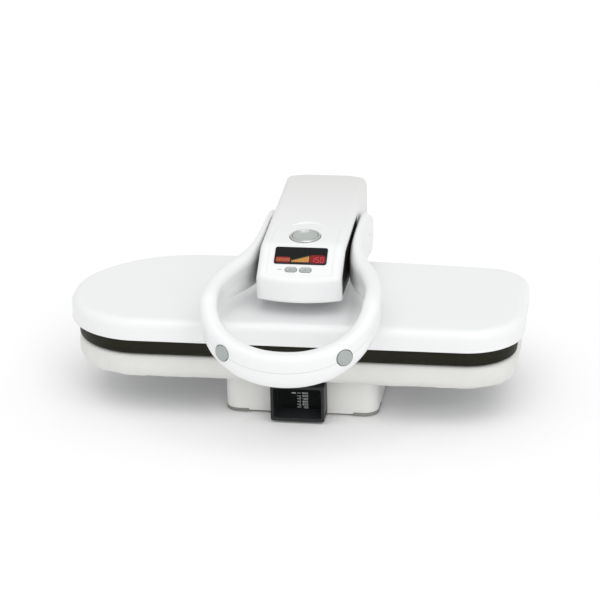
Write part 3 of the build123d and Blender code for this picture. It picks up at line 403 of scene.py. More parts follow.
# ---------------------------------------------------------------- floor, world and lights
def make_stage():
    bm = bmesh.new()
    bmesh.ops.create_grid(bm, x_segments=24, y_segments=24, size=12.0)
    mesh = bpy.data.meshes.new("floor")
    bm.to_mesh(mesh)
    bm.free()
    floor = bpy.data.objects.new("floor", mesh)
    floor.location = (0.0, 0.0, -0.0003)
    scene.collection.objects.link(floor)
    p = Paint("floor_paper")
    p.bsdf.inputs["Specular IOR Level"].default_value = 0.1
    cloud = p.noise(1.3, 3.0, 0.5)
    mesh.materials.append(p.finish(
        p.mix(p.span(cloud, 0.3, 0.7), (0.955, 0.955, 0.955), (0.963, 0.963, 0.961)),
        p.span(cloud, 0.3, 0.7, 0.82, 0.9), p.bump(p.noise(700.0, 2.0), 0.05, 0.0001),
    ))

    world = bpy.data.worlds.new("studio")
    scene.world = world
    world.use_nodes = True
    back = world.node_tree.nodes.get("Background") or world.node_tree.nodes.new("ShaderNodeBackground")
    back.inputs["Color"].default_value = (1.0, 1.0, 1.0, 1.0)
    back.inputs["Strength"].default_value = 0.76


def sun_light(name, turn, height, spread, power, tint=(1.0, 1.0, 1.0)):
    """A wide, soft sun; turn runs clockwise from straight in front, height is above the floor, both in degrees."""
    data = bpy.data.lights.new(name, "SUN")
    data.angle = math.radians(spread)
    data.energy = power
    data.color = tint
    lamp = bpy.data.objects.new(name, data)
    scene.collection.objects.link(lamp)
    turn, height = math.radians(turn), math.radians(height)
    source = Vector((-math.sin(turn) * math.cos(height), -math.cos(turn) * math.cos(height), math.sin(height)))
    lamp.rotation_euler = (-source).to_track_quat("-Z", "Y").to_euler()


make_stage()
sun_light("top_soft", -20.0, 63.0, 60.0, 0.95)
sun_light("front_soft", -32.0, 26.0, 30.0, 0.32)
scene.view_settings.view_transform = "Standard"
scene.view_settings.look = "None"
scene.view_settings.exposure = 0.0
scene.view_settings.gamma = 1.0


# ---------------------------------------------------------------- mesh helpers
def place_mesh(name, bm, body, slot, *replaced, smooth_deg=35.0, material=None):
    """Turns a bmesh laid out in metres into a piece that rides on a CAD body."""
    bmesh.ops.recalc_face_normals(bm, faces=bm.faces[:])
    mesh = bpy.data.meshes.new(name)
    bm.to_mesh(mesh)
    bm.free()
    mesh.polygons.foreach_set("use_smooth", [True] * len(mesh.polygons))
    mesh.set_sharp_from_angle(angle=math.radians(smooth_deg))
    obj = bpy.data.objects.new(name, mesh)
    scene.collection.objects.link(obj)
    mesh.materials.append(material or MAT[slot])
    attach(obj, body)
    if replaced:
        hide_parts(*replaced)
    return obj


def ring_stack(bm, rings, closed=True, cap_first=False, cap_last=False):
    """Joins rings of equal length with quads; closed also joins the last ring to the first."""
    rows = [[bm.verts.new(p) for p in ring] for ring in rings]
    n = len(rows[0])
    pairs = list(zip(rows, rows[1:]))
    if closed:
        pairs.append((rows[-1], rows[0]))
    for a, b in pairs:
        for i in range(n):
            j = (i + 1) % n
            bm.faces.new((a[i], a[j], b[j], b[i]))
    if cap_first:
        bm.faces.new(rows[0][::-1])
    if cap_last:
        bm.faces.new(rows[-1])
    return rows


def smoothstep(t):
    t = min(1.0, max(0.0, t))
    return t * t * (3.0 - 2.0 * t)


def lathe(profile, origin, axis, across, segments=72):
    """A closed body of revolution: profile is (radius, height) pairs in mm from the axis out and back to it."""
    bm = bmesh.new()
    axis = axis.normalized()
    across = (across - axis * across.dot(axis)).normalized()
    third = axis.cross(across)
    rings, first, last = [], None, None
    for radius, height in profile:
        base = origin + axis * (height / 1000.0)
        if radius < 1e-6:
            point = bm.verts.new(base)
            if first is None and not rings:
                first = point
            else:
                last = point
            continue
        ring = []
        for i in range(segments):
            a = 2 * math.pi * i / segments
            ring.append(bm.verts.new(base + (across * math.cos(a) + third * math.sin(a)) * (radius / 1000.0)))
        rings.append(ring)
    for a, b in zip(rings, rings[1:]):
        for i in range(segments):
            j = (i + 1) % segments
            bm.faces.new((a[i], a[j], b[j], b[i]))
    if first is not None:
        for i in range(segments):
            bm.faces.new((rings[0][(i + 1) % segments], rings[0][i], first))
    if last is not None:
        for i in range(segments):
            bm.faces.new((rings[-1][i], rings[-1][(i + 1) % segments], last))
    if first is None and last is None:
        for i in range(segments):
            j = (i + 1) % segments
            bm.faces.new((rings[-1][i], rings[-1][j], rings[0][j], rings[0][i]))
    return bm


def rounded_corner(before, corner, after, radius, steps):
    """Points of a rounded polygon corner in a plane."""
    a = (Vector(before) - Vector(corner))
    b = (Vector(after) - Vector(corner))
    la, lb = a.length, b.length
    a, b = a / la, b / lb
    angle = a.angle(b)
    if angle > math.pi - 0.02:
        return [Vector(corner) for _ in range(steps + 1)]
    reach = min(radius / math.tan(angle / 2), la * 0.48, lb * 0.48)
    radius = reach * math.tan(angle / 2)
    centre = Vector(corner) + (a + b).normalized() * (radius / math.sin(angle / 2))
    start = Vector(corner) + a * reach - centre
    stop = Vector(corner) + b * reach - centre
    sweep = start.angle_signed(stop) if hasattr(start, "angle_signed") else start.angle(stop)
    points = []
    for i in range(steps + 1):
        points.append(centre + Matrix.Rotation(-sweep * i / steps, 2) @ start)
    return points


def shift_polygon(points, insets):
    """A closed counter-clockwise polygon with each side moved inward by its own inset."""
    n = len(points)
    lines = []
    for i in range(n):
        p, q = Vector(points[i]), Vector(points[(i + 1) % n])
        d = (q - p).normalized()
        inward = Vector((-d.y, d.x))
        lines.append((p + inward * insets[i], d))
    out = []
    for i in range(n):
        (p, d), (q, e) = lines[i - 1], lines[i]
        cross = d.x * e.y - d.y * e.x
        if abs(cross) < 1e-9:
            out.append(q)
            continue
        t = ((q.x - p.x) * e.y - (q.y - p.y) * e.x) / cross
        out.append(p + d * t)
    return out


def cut(obj, *cutters):
    """Subtracts closed cutter meshes from a piece and keeps the result as plain mesh data."""
    for i, bm in enumerate(cutters):
        bmesh.ops.recalc_face_normals(bm, faces=bm.faces[:])
        mesh = bpy.data.meshes.new("cutter")
        bm.to_mesh(mesh)
        bm.free()
        tool = bpy.data.objects.new("cutter", mesh)
        scene.collection.objects.link(tool)
        boolean = obj.modifiers.new("cut", "BOOLEAN")
        boolean.operation = "DIFFERENCE"
        boolean.solver = "EXACT"
        boolean.object = tool
        bpy.context.view_layer.update()
        done = bpy.data.meshes.new_from_object(obj.evaluated_get(bpy.context.evaluated_depsgraph_get()))
        obj.modifiers.remove(boolean)
        old = obj.data
        obj.data = done
        done.name = old.name
        bpy.data.meshes.remove(old)
        bpy.data.objects.remove(tool)
        bpy.data.meshes.remove(mesh)
    return obj


def settle_shading(obj, degrees=32.0):
    mesh = obj.data
    mesh.polygons.foreach_set("use_smooth", [True] * len(mesh.polygons))
    mesh.set_sharp_from_angle(angle=math.radians(degrees))
    weighted = obj.modifiers.new("face_weights", "WEIGHTED_NORMAL")
    weighted.keep_sharp = True
    weighted.weight = 80


# ---------------------------------------------------------------- the shoe's outline
XL, XR, YF, YB, BOW = -339.5, 311.5, -141.5, 134.0, 5200.0
FRONT_LEFT_R, FRONT_RIGHT_R = 112.0, 80.0


def shoe(d):
    """The shoe's outline, d mm inside its outermost line, with the same number of points for every d."""
    x0, corner = XL + 174.5, 66.0
    tilt = math.asin((XR - corner - x0) / (BOW - corner))
    yc = YB - BOW + (BOW - corner) * math.cos(tilt)
    points = []

    def run(a, b, n):
        for i in range(n):
            points.append((a[0] + (b[0] - a[0]) * i / n, a[1] + (b[1] - a[1]) * i / n))

    def arc(cx, cy, rx, ry, a0, a1, n):
        for i in range(n):
            a = a0 + (a1 - a0) * i / n
            points.append((cx + rx * math.cos(a), cy + ry * math.sin(a)))

    half = math.pi / 2
    left, right = FRONT_LEFT_R, FRONT_RIGHT_R
    run((XL + left, YF + d), (XR - right, YF + d), 86)
    arc(XR - right, YF + right, right - d, right - d, -half, 0.0, 34)
    run((XR - d, YF + right), (XR - d, yc), 22)
    arc(XR - corner, yc, corner - d, corner - d, 0.0, half - tilt, 26)
    arc(x0, YB - BOW, BOW - d, BOW - d, half - tilt, half, 80)
    arc(x0, YB - 150.5, 174.5 - d, 150.5 - d, half, math.pi, 56)
    run((XL + d, YB - 150.5), (XL + d, YF + left), 6)
    arc(XL + left, YF + left, left - d, left - d, math.pi, 1.5 * math.pi, 42)
    return points


def shoe_ring(d, z):
    return [at(x, y, z) for x, y in shoe(d)]


def inner_rings(d, z, steps, rise=0.0):
    """Rings that close a level face from the outline d inwards, towards the shoe's long middle line."""
    outline = shoe(d)
    rings = []
    for k in range(1, steps + 1):
        t = k / steps * 0.96
        ring = []
        for x, y in outline:
            mx = min(205.0, max(-215.0, x))
            ring.append(at(x + (mx - x) * t, y + (-4.0 - y) * t, z + rise * smoothstep(t * 2.2)))
        rings.append(ring)
    return rings


SHOULDERS = [(0, 13.0), (86, 13.0), (120, 11.5), (142, 12.0), (168, 17.0), (248, 18.5), (275, 15.5), (300, 10.5), (322, 11.0), (352, 13.0)]


def shoulder(i):
    """The cover's shoulder radius at a point of the outline: tighter at the ends, easier along the back."""
    for (a, ra), (b, rb) in zip(SHOULDERS, SHOULDERS[1:]):
        if a <= i <= b:
            return ra + (rb - ra) * smoothstep((i - a) / (b - a))
    return SHOULDERS[-1][1]


def make_platen_cover():
    """The shoe's white cover: a moulded shell with a beaded lower rim, a tight shoulder and a barely crowned top."""
    bm = bmesh.new()
    rings = []
    # inside, from the middle of the roof out and down
    roof = inner_rings(16.0, 148.0, 4)
    rings += roof[::-1]
    for d, z in ((16.0, 148.0), (9.5, 146.4), (4.6, 142.0), (3.2, 137.0), (3.2, 122.4), (9.8, 122.2), (10.0, 121.6), (10.0, 119.4), (9.7, 119.1)):
        rings.append(shoe_ring(d, z))
    # lower rim with a fine bead, then the wall
    for d, z in ((2.0, 119.0), (0.7, 119.05), (0.15, 119.3), (-0.15, 119.8), (-0.2, 120.6), (-0.05, 121.3), (0.45, 121.75), (0.5, 122.3), (0.45, 123.4)):
        rings.append(shoe_ring(d, z))
    top = 150.3
    outer, inner = shoe(0.0), shoe(1.0)
    for t in (0.12, 0.35, 0.65, 0.9, 1.0):
        ring = []
        for i, ((x, y), (u, v)) in enumerate(zip(outer, inner)):
            low = 123.4
            d = 0.4 * (1.0 - t)
            ring.append(at(x + (u - x) * d, y + (v - y) * d, low + (top - shoulder(i) - low) * t))
        rings.append(ring)
    steps = 12
    for k in range(1, steps + 1):
        a = math.pi / 2 * k / steps
        ring = []
        for i, ((x, y), (u, v)) in enumerate(zip(outer, inner)):
            r = shoulder(i)
            d = r * (1 - math.cos(a))
            ring.append(at(x + (u - x) * d, y + (v - y) * d, top - r + r * math.sin(a)))
        rings.append(ring)
    for d, z in ((21.0, top + 0.04), (26.0, top + 0.08)):
        rings.append(shoe_ring(d, z))
    rings += inner_rings(26.0, top + 0.08, 6, rise=0.25)
    rows = ring_stack(bm, rings, closed=False, cap_first=True, cap_last=True)
    return place_mesh("shoe_cover", bm, "arm", "white_shell", "platen_cover", smooth_deg=50.0)


def make_board():
    """The lower board: woven cotton drawn over foam and gathered under its rim."""
    bm = bmesh.new()
    rings = []
    top = inner_rings(24.0, 94.7, 5)
    rings += top[::-1]
    profile = [
        (24.0, 94.7), (19.0, 94.7), (15.5, 94.6), (13.0, 94.1), (11.3, 92.9), (10.1, 91.0), (9.4, 88.0), (9.0, 84.0), (8.8, 79.5),
        (8.8, 75.0), (9.0, 71.0), (9.4, 67.2), (10.2, 63.8), (11.7, 61.0), (14.0, 59.3), (17.0, 58.6), (20.3, 58.6), (22.8, 59.2),
        (23.9, 60.8), (24.2, 66.5), (24.6, 69.4), (27.0, 70.0),
    ]
    for d, z in profile:
        rings.append(shoe_ring(d, z))
    rings += inner_rings(27.0, 70.0, 5)
    ring_stack(bm, rings, closed=False, cap_first=True, cap_last=True)
    bmesh.ops.recalc_face_normals(bm, faces=bm.faces[:])
    mesh = bpy.data.meshes.new("padded_board")
    bm.to_mesh(mesh)
    bm.free()
    board = bpy.data.objects.new("padded_board", mesh)
    scene.collection.objects.link(board)

    remesh = board.modifiers.new("voxels", "REMESH")
    remesh.mode = "VOXEL"
    remesh.voxel_size = 0.005
    bpy.context.view_layer.update()
    even = bpy.data.meshes.new_from_object(board.evaluated_get(bpy.context.evaluated_depsgraph_get()))
    board.modifiers.clear()
    board.data = even
    bpy.data.meshes.remove(mesh)
    mesh = even

    start = [v.co.copy() for v in mesh.vertices]
    held = board.vertex_groups.new(name="held")
    for v in mesh.vertices:
        z = v.co.z * 1000.0
        inside = depth_inside(v.co)
        if z > 93.9 or inside > 22.5:
            weight = 1.0
        elif z > 92.0:
            weight = 0.5
        else:
            weight = 0.0
        if weight:
            held.add([v.index], weight, "REPLACE")
    cloth = board.modifiers.new("cloth", "CLOTH")
    settings = cloth.settings
    settings.quality = 6
    settings.mass = 0.3
    settings.tension_stiffness = 25.0
    settings.compression_stiffness = 12.0
    settings.shear_stiffness = 8.0
    settings.bending_stiffness = 0.6
    settings.use_pressure = True
    settings.uniform_pressure_force = 4.0
    settings.vertex_group_mass = "held"
    settings.effector_weights.gravity = 0.0
    cloth.collision_settings.use_collision = False
    cloth.collision_settings.use_self_collision = False
    cloth.point_cache.frame_start = 1
    cloth.point_cache.frame_end = 20
    for frame_number in range(1, 21):
        scene.frame_set(frame_number)
    swollen = bpy.data.meshes.new_from_object(board.evaluated_get(bpy.context.evaluated_depsgraph_get()))
    moved = [v.co.copy() for v in swollen.vertices]
    bpy.data.meshes.remove(swollen)
    board.modifiers.clear()
    board.vertex_groups.clear()
    scene.frame_set(1)

    # the foam holds the cloth to within a few millimetres
    cap = 0.005
    for v, a, b in zip(mesh.vertices, start, moved):
        step = b - a
        if step.length > cap:
            step = step * (cap / step.length)
        v.co = a + step
    mesh.update()
    normals = [n.vector.copy() for n in mesh.vertex_normals]
    for v, normal in zip(mesh.vertices, normals):
        z = v.co.z * 1000.0
        s, bend = along_outline(v.co)
        inside = depth_inside(v.co)
        if inside < 21.5 and z < 93.5:
            # gathers run up from the drawn hem and die out below the shoulder
            fade = smoothstep((87.0 - z) / 22.0) * (0.30 + 0.70 * bend)
            swing = noise.noise(Vector((s * 0.048, z * 0.008, 3.1)))
            sharp = noise.noise(Vector((s * 0.075, z * 0.012, 7.7)))
            fold = (abs(swing) * 2.0 - 0.5) * 1.7 + sharp * 0.6
            slack = noise.noise(Vector((s * 0.016, z * 0.05, 1.3))) * 1.1 * smoothstep((93.0 - z) / 10.0)
            v.co += normal * ((fold * fade + slack) / 1000.0)
    for v in mesh.vertices:
        over_base = abs(v.co.x * 1000.0 - AX) < 114.0 and v.co.y * 1000.0 - AY > -140.0
        v.co.z = min(0.0950, max(0.0580 if over_base else 0.0570, v.co.z))
    mesh.polygons.foreach_set("use_smooth", [True] * len(mesh.polygons))
    mesh.materials.clear()
    mesh.materials.append(MAT["pad_fabric"])
    finer = board.modifiers.new("finer", "SUBSURF")
    finer.levels = 1
    finer.render_levels = 1
    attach(board, "base")
    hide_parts("board_cover", "board_pad")
    return board


OUTER = [at(x, y, 0.0) for x, y in shoe(0.0)]
LENGTHS = [0.0]
for one, two in zip(OUTER, OUTER[1:]):
    LENGTHS.append(LENGTHS[-1] + (two - one).length * 1000.0)


def nearest_outline(point):
    flat = Vector((point.x, point.y, 0.0))
    best = NEAR.find(flat)
    return best[1], best[2] * 1000.0


def along_outline(point):
    """How far round the rim a point lies, in mm, and how strongly the rim bends there, from 0 to 1."""
    i, _ = nearest_outline(point)
    bend = 0.0 if i < 84 or 170 < i < 246 else 1.0
    if 84 <= i < 92:
        bend = (i - 84) / 8.0
    elif 120 <= i < 142:
        bend = 0.6
    elif i < 12:
        bend = 1.0 - i / 12.0
    return LENGTHS[i], bend


def depth_inside(point):
    return nearest_outline(point)[1]


NEAR = KDTree(len(OUTER))
for index, spot in enumerate(OUTER):
    NEAR.insert(spot, index)
NEAR.balance()


# ---------------------------------------------------------------- head
NOSE_EDGE, BROW = Vector((-101.0, 207.0)), Vector((-54.0, 238.5))
SLOPE = (BROW - NOSE_EDGE).normalized()
SLOPE_N = Vector((-SLOPE.y, SLOPE.x))
TOP_RUN = (Vector((205.0, 254.5)) - BROW).normalized()
TOP_N = Vector((-TOP_RUN.y, TOP_RUN.x))
BUTTON_Y = -27.0


def on_slope(s, n, x=0.0):
    p = NOSE_EDGE + SLOPE * s + SLOPE_N * n
    return at(x, p.x, p.y)


def on_top(y, n, x=0.0):
    p = BROW + TOP_RUN * ((y - BROW.x) / TOP_RUN.x) + TOP_N * n
    return at(x, p.x, p.y)


SLOPE_UP = Vector((0.0, SLOPE.x, SLOPE.y))
SLOPE_OUT = Vector((0.0, SLOPE_N.x, SLOPE_N.y))
TOP_BACK = Vector((0.0, TOP_RUN.x, TOP_RUN.y))
TOP_OUT = Vector((0.0, TOP_N.x, TOP_N.y))
RIGHT = Vector((1.0, 0.0, 0.0))


def head_slice(x):
    """The head's outline in depth and height at one distance from its middle plane."""
    width, edge = 60.0, 9.0
    over = abs(x) - (width - edge)
    inset = edge - math.sqrt(max(0.0, edge * edge - over * over)) if over > 0 else 0.0
    share = min(1.0, abs(x) / width)
    bow = 14.5 * (1.0 - share ** 2.0) - 1.5
    low = Vector((-98.5 - bow, 171.2))
    brink = NOSE_EDGE - SLOPE * (bow * 0.55)
    # plan rounding of the two rear corners
    rear = 210.5 - 7.0 * smoothstep((abs(x) - 30.0) / 30.0)
    top_rear = BROW + TOP_RUN * ((rear - BROW.x) / TOP_RUN.x)
    corners = [
        (low, 4.0), (Vector((120.0, 171.2)), 6.0), (Vector((141.0, 156.0)), 8.0), (Vector((160.0, 143.3)), 10.0),
        (Vector((192.0, 143.3)), 10.0), (Vector((206.0, 150.0)), 9.0), (Vector((rear, 166.0)), 6.0), (top_rear, 15.0),
        (BROW.copy(), 30.0), (brink, 10.0),
    ]
    ring = shift_polygon([c for c, _ in corners], [inset * k for k in (0.1, 0.1, 0.1, 0.1, 0.1, 0.2, 1.0, 1.0, 1.0, 0.6)])
    n = len(ring)
    points = []
    for i in range(n):
        radius = max(0.8, corners[i][1] - inset * 0.8)
        corner = rounded_corner(ring[i - 1], ring[i], ring[(i + 1) % n], radius, 7)
        points.append(corner)
    return points


def make_head():
    xs = [0.0, 8.0, 16.0, 24.0, 31.0, 38.0, 43.0, 45.0, 45.5, 46.0, 46.5, 47.1, 49.0, 51.0]
    for k in range(1, 11):
        xs.append(51.0 + 9.0 * math.sin(math.pi / 2 * k / 10))
    xs = [-x for x in xs[:0:-1]] + xs
    bm = bmesh.new()
    rings = []
    for x in xs:
        parts = head_slice(x)
        ring = []
        n = len(parts)
        for i in range(n):
            ring += parts[i]
            a, b = parts[i][-1], parts[(i + 1) % n][0]
            # extra points along the long sides: top (7 to 8) and slope (8 to 9)
            if i == 7:
                marks = [0.06, 0.2, 0.35, 0.5, 0.62, 0.72, 0.765, 0.7675, 0.77, 0.7725, 0.775, 0.82, 0.9, 0.96]
            elif i == 8:
                marks = [0.12, 0.3, 0.5, 0.68, 0.80, 0.86, 0.875, 0.89, 0.905, 0.92, 0.95]
            elif i in (0, 9):
                marks = [0.1, 0.3, 0.5, 0.7, 0.9]
            else:
                marks = [0.33, 0.66]
            for t in marks:
                ring.append(a.lerp(b, t))
        points = []
        for p in ring:
            dip = 0.0
            if abs(x) <= 46.5 and p.y > 200:
                s = (p - NOSE_EDGE).dot(SLOPE)
                near_slope = abs((p - NOSE_EDGE).dot(SLOPE_N)) < 2.5
                groove_row = near_slope and 4.4 < s < 5.8
                groove_col = 45.4 <= abs(x) <= 46.6 and p.x < 3.0 and (not near_slope or s > 4.4)
                back_row = abs(p.x - 2.0) < 0.75
                if groove_row or groove_col or back_row:
                    dip = 0.42
            if dip:
                out = SLOPE_N if p.x < BROW.x else TOP_N
                p = p - out * dip
            points.append(at(x, p.x, p.y))
        rings.append(points)
    ring_stack(bm, rings, closed=False, cap_first=True, cap_last=True)
    head = place_mesh("head_shell", bm, "arm", "white_shell", "head_cover", "control_panel", material=MAT["white_head"])

    # hollow, open below and at the lower back
    cutters = []
    for half, back in ((57.0, 196.0), (50.0, 201.0), (43.0, 208.0)):
        hollow = bmesh.new()
        inner = [(-93.5, 130.0), (215.0, 130.0), (215.0, 166.0), (back, 166.0), (back - 9.0, 246.5), (back - 15.0, 249.6), (-53.0, 234.6), (-96.0, 204.8)]
        prism(hollow, [Vector(p) for p in inner], -half, half)
        cutters.append(hollow)
    shaft = lathe([(0.0, -70.0), (9.0, -70.0), (9.0, 70.0), (0.0, 70.0)], at(0.0, 152.0, 178.0), RIGHT, Vector((0, 1, 0)), 40)
    mouth = lathe([(0.0, -14.0), (22.5, -14.0), (22.5, 6.0), (0.0, 6.0)], on_top(BUTTON_Y, 0.0), TOP_OUT, RIGHT, 96)
    cutters += [shaft, mouth]
    for key_x in (-11.6, 8.8):
        slot = bmesh.new()
        pill(slot, on_slope(12.6, 0.0, key_x), 17.4, 9.0, 4.4, [(-14.0, 0.0), (6.0, 0.0)])
        cutters.append(slot)
    window = bmesh.new()
    pill(window, on_slope(36.4, 0.0), 74.1, 29.1, 3.3, [(-14.0, 0.0), (6.0, 0.0)])
    cutters.append(window)
    # shallow beds in both flanks
    for sign in (-1, 1):
        bed = bmesh.new()
        flank = [(-88.0, 174.0), (76.0, 174.0), (76.0, 236.3), (-50.0, 228.5), (-88.0, 203.0)]
        prism(bed, [Vector(p) for p in flank], *sorted((sign * 58.3, sign * 62.0)))
        cutters.append(bed)
    cut(head, *cutters)
    settle_shading(head)
    return head


def prism(bm, polygon, x0, x1):
    """A closed prism across the head; polygon is (depth, height) in mm."""
    a = [bm.verts.new(at(x0, p.x, p.y)) for p in polygon]
    b = [bm.verts.new(at(x1, p.x, p.y)) for p in polygon]
    n = len(a)
    for i in range(n):
        j = (i + 1) % n
        bm.faces.new((a[i], a[j], b[j], b[i]))
    bm.faces.new(a[::-1])
    bm.faces.new(b)


def pill(bm, centre, width, height, radius, rows, steps=9):
    """A rounded-rectangle stack on the sloping panel; rows are (height above the slope, inset) in mm."""
    rings = []
    for n, inset in rows:
        hw, hh, r = width / 2 - inset, height / 2 - inset, max(0.2, radius - inset)
        ring = []
        for cx, cy, a0 in ((hw - r, hh - r, 0.0), (-(hw - r), hh - r, 90.0), (-(hw - r), -(hh - r), 180.0), (hw - r, -(hh - r), 270.0)):
            for k in range(steps + 1):
                a = math.radians(a0 + 90.0 * k / steps)
                px, py = cx + r * math.cos(a), cy + r * math.sin(a)
                ring.append(centre + (RIGHT * px + SLOPE_UP * py + SLOPE_OUT * n) / 1000.0)
        rings.append(ring)
    ring_stack(bm, rings, closed=False, cap_first=True, cap_last=True)


def make_buttons():
    # large push button: rolled rim, dished middle
    profile = [(0.0, -4.5), (17.6, -4.5), (18.0, -4.0), (18.1, -1.5), (18.05, 0.9), (17.8, 1.6), (17.3, 1.95), (16.7, 1.9), (16.1, 1.45),
               (15.3, 0.75), (14.0, -0.1), (12.0, -1.05), (9.5, -1.8), (6.5, -2.3), (3.2, -2.55), (0.0, -2.6)]
    bm = lathe(profile, on_top(BUTTON_Y, 0.0), TOP_OUT, RIGHT, 96)
    place_mesh("big_button", bm, "main_button", "button_grey", "main_button", smooth_deg=50, material=MAT["button_silver"])
    section = [(18.45, -3.0), (21.7, -3.0), (21.7, 0.6)]
    for k in range(1, 14):
        a = math.pi * k / 14
        section.append((20.1 + 1.6 * math.cos(a), 0.8 + 1.35 * math.sin(a)))
    section.append((18.45, 0.6))
    bm = lathe(section, on_top(BUTTON_Y, 0.0), TOP_OUT, RIGHT, 96)
    place_mesh("button_ring", bm, "arm", "bezel_silver", "button_bezel", smooth_deg=50)
    # two keys with a shallow dish and a raised mark each
    for key, x, body in (("key_left", -11.6, "key_left"), ("key_right", 8.8, "key_right")):
        bm = bmesh.new()
        pill(bm, on_slope(12.6, 0.0, x), 16.6, 8.3, 4.1,
             [(-3.4, 0.15), (-3.2, 0.0), (0.6, 0.0), (1.2, 0.2), (1.5, 0.6), (1.6, 1.1), (1.45, 1.6), (1.1, 2.3), (0.9, 3.1), (0.85, 3.6)])
        bars = [(0.0, 0.0, 4.2, 0.9)] if x < 0 else [(0.0, 0.0, 4.2, 0.9), (0.0, 0.0, 0.9, 4.2)]
        for bx, by, w, h in bars:
            pill(bm, on_slope(12.6 + by, 0.0, x + bx), w, h, 0.4, [(0.5, 0.0), (1.3, 0.0), (1.45, 0.15)], steps=3)
        place_mesh("touch_" + key, bm, body, "button_grey", key, smooth_deg=50)
    # raised crescent behind the large button
    bm = bmesh.new()
    rings = []
    for k in range(33):
        t = -1 + 2 * k / 32
        a = math.radians(56.0 * t)
        fade = math.sqrt(max(0.0, 1 - t * t)) ** 0.8
        half, high = 0.15 + 2.9 * fade, 0.05 + 1.75 * fade
        ring = []
        for j in range(13):
            u = -1 + 2 * j / 12
            r = 29.8 + half * u
            ring.append(on_top(BUTTON_Y + 18.2 + r * math.cos(a), -0.35 + (high + 0.35) * (1 - abs(u) ** 2.4), r * math.sin(a)))
        ring.append(on_top(BUTTON_Y + 18.2 + 29.8 * math.cos(a), -0.5, 29.8 * math.sin(a)))
        rings.append(ring)
    ring_stack(bm, rings, closed=False, cap_first=True, cap_last=True)
    place_mesh("head_crescent", bm, "arm", "white_shell", smooth_deg=60)


def make_display():
    """What the display shows: a row of blocks, a rising ramp and plain digits."""
    def glow(name, colour, strength):
        p = Paint(name)
        p.bsdf.inputs["Emission Color"].default_value = (*colour, 1.0)
        p.bsdf.inputs["Emission Strength"].default_value = strength
        p.bsdf.inputs["Specular IOR Level"].default_value = 0.2
        flicker = p.noise(900.0, 2.0)
        return p.finish(p.mix(p.span(flicker, 0.3, 0.7), tuple(c * 0.3 for c in colour), tuple(c * 0.7 for c in colour)),
                        p.span(flicker, 0.3, 0.7, 0.3, 0.4),
                        p.bump(flicker, 0.1, 0.00002))

    def bars(name, items, material, n0=1.18, n1=1.32):
        bm = bmesh.new()
        for x, s, w, h in items:
            pill(bm, on_slope(36.4 + s, 0.0, x), w, h, min(w, h) * 0.3, [(n0, 0.0), (n1 - 0.04, 0.0), (n1, 0.04)], steps=2)
        place_mesh(name, bm, "arm", "display_black", smooth_deg=40, material=material)

    bm = bmesh.new()
    pill(bm, on_slope(36.4, 0.0), 73.5, 28.5, 3.0, [(-1.4, 0.0), (0.75, 0.0), (1.0, 0.12), (1.15, 0.4), (1.2, 0.8)])
    place_mesh("display_glass", bm, "arm", "display_black", "display_window", smooth_deg=50)
    salmon = glow("lamp_salmon", (0.44, 0.10, 0.05), 0.45)
    amber = glow("lamp_amber", (0.64, 0.30, 0.075), 0.52)
    red = glow("lamp_red", (0.60, 0.06, 0.075), 0.65)
    dim = glow("lamp_dim_red", (0.16, 0.008, 0.010), 0.9)
    olive = glow("lamp_olive", (0.10, 0.085, 0.012), 0.9)
    bars("display_left_field", [(-24.6, -7.6, 20.6, 9.6)], dim, 1.14, 1.24)
    bars("display_right_field", [(23.8, -5.6, 23.0, 13.6)], dim, 1.14, 1.24)
    blocks = [(-32.4 + k * 3.3, -7.6, 2.9, 6.4) for k in range(6)]
    bars("display_blocks", blocks, salmon)
    ramp, rim = [], []
    for k in range(9):
        high = 2.2 + 0.95 * k
        ramp.append((-11.3 + k * 2.75, -11.3 + high / 2, 2.35, high))
        rim.append((-11.3 + k * 2.75, -11.3 + high + 0.6, 2.5, 1.5))
    bars("display_ramp", ramp, amber)
    bars("display_ramp_rim", rim, olive)
    segments = {"1": "bc", "4": "bcfg", "0": "abcdef", "6": "acdefg", "5": "acdfg", "8": "abcdefg", "2": "abdeg"}
    strokes = []
    for k, digit in enumerate("150"):
        cx = 17.2 + k * 6.6
        for name in segments[digit]:
            w, h = 4.0, 8.0
            x, s, bw, bh = {
                "a": (0, h / 2, w, 1.0), "d": (0, -h / 2, w, 1.0), "g": (0, 0, w, 1.0),
                "b": (w / 2, h / 4, 1.0, h / 2 - 0.5), "c": (w / 2, -h / 4, 1.0, h / 2 - 0.5),
                "f": (-w / 2, h / 4, 1.0, h / 2 - 0.5), "e": (-w / 2, -h / 4, 1.0, h / 2 - 0.5),
            }[name]
            strokes.append((cx + x, -6.8 + s, bw, bh))
    bars("display_digits", strokes, red, 1.26, 1.4)
    # small mark beside the keys
    bm = bmesh.new()
    pill(bm, on_slope(12.6, 0.0, -27.5), 6.5, 1.0, 0.45, [(-0.4, 0.0), (0.1, 0.0), (0.18, 0.12)], steps=3)
    place_mesh("key_mark", bm, "arm", "button_grey", smooth_deg=40)


# ---------------------------------------------------------------- handle
def loop_point(deg):
    a = math.radians(deg)
    k = 1 + 0.025 * math.sin(2 * a) ** 2
    return (111.5 * k * math.sin(a), -176.0 - 76.5 * k * math.cos(a))


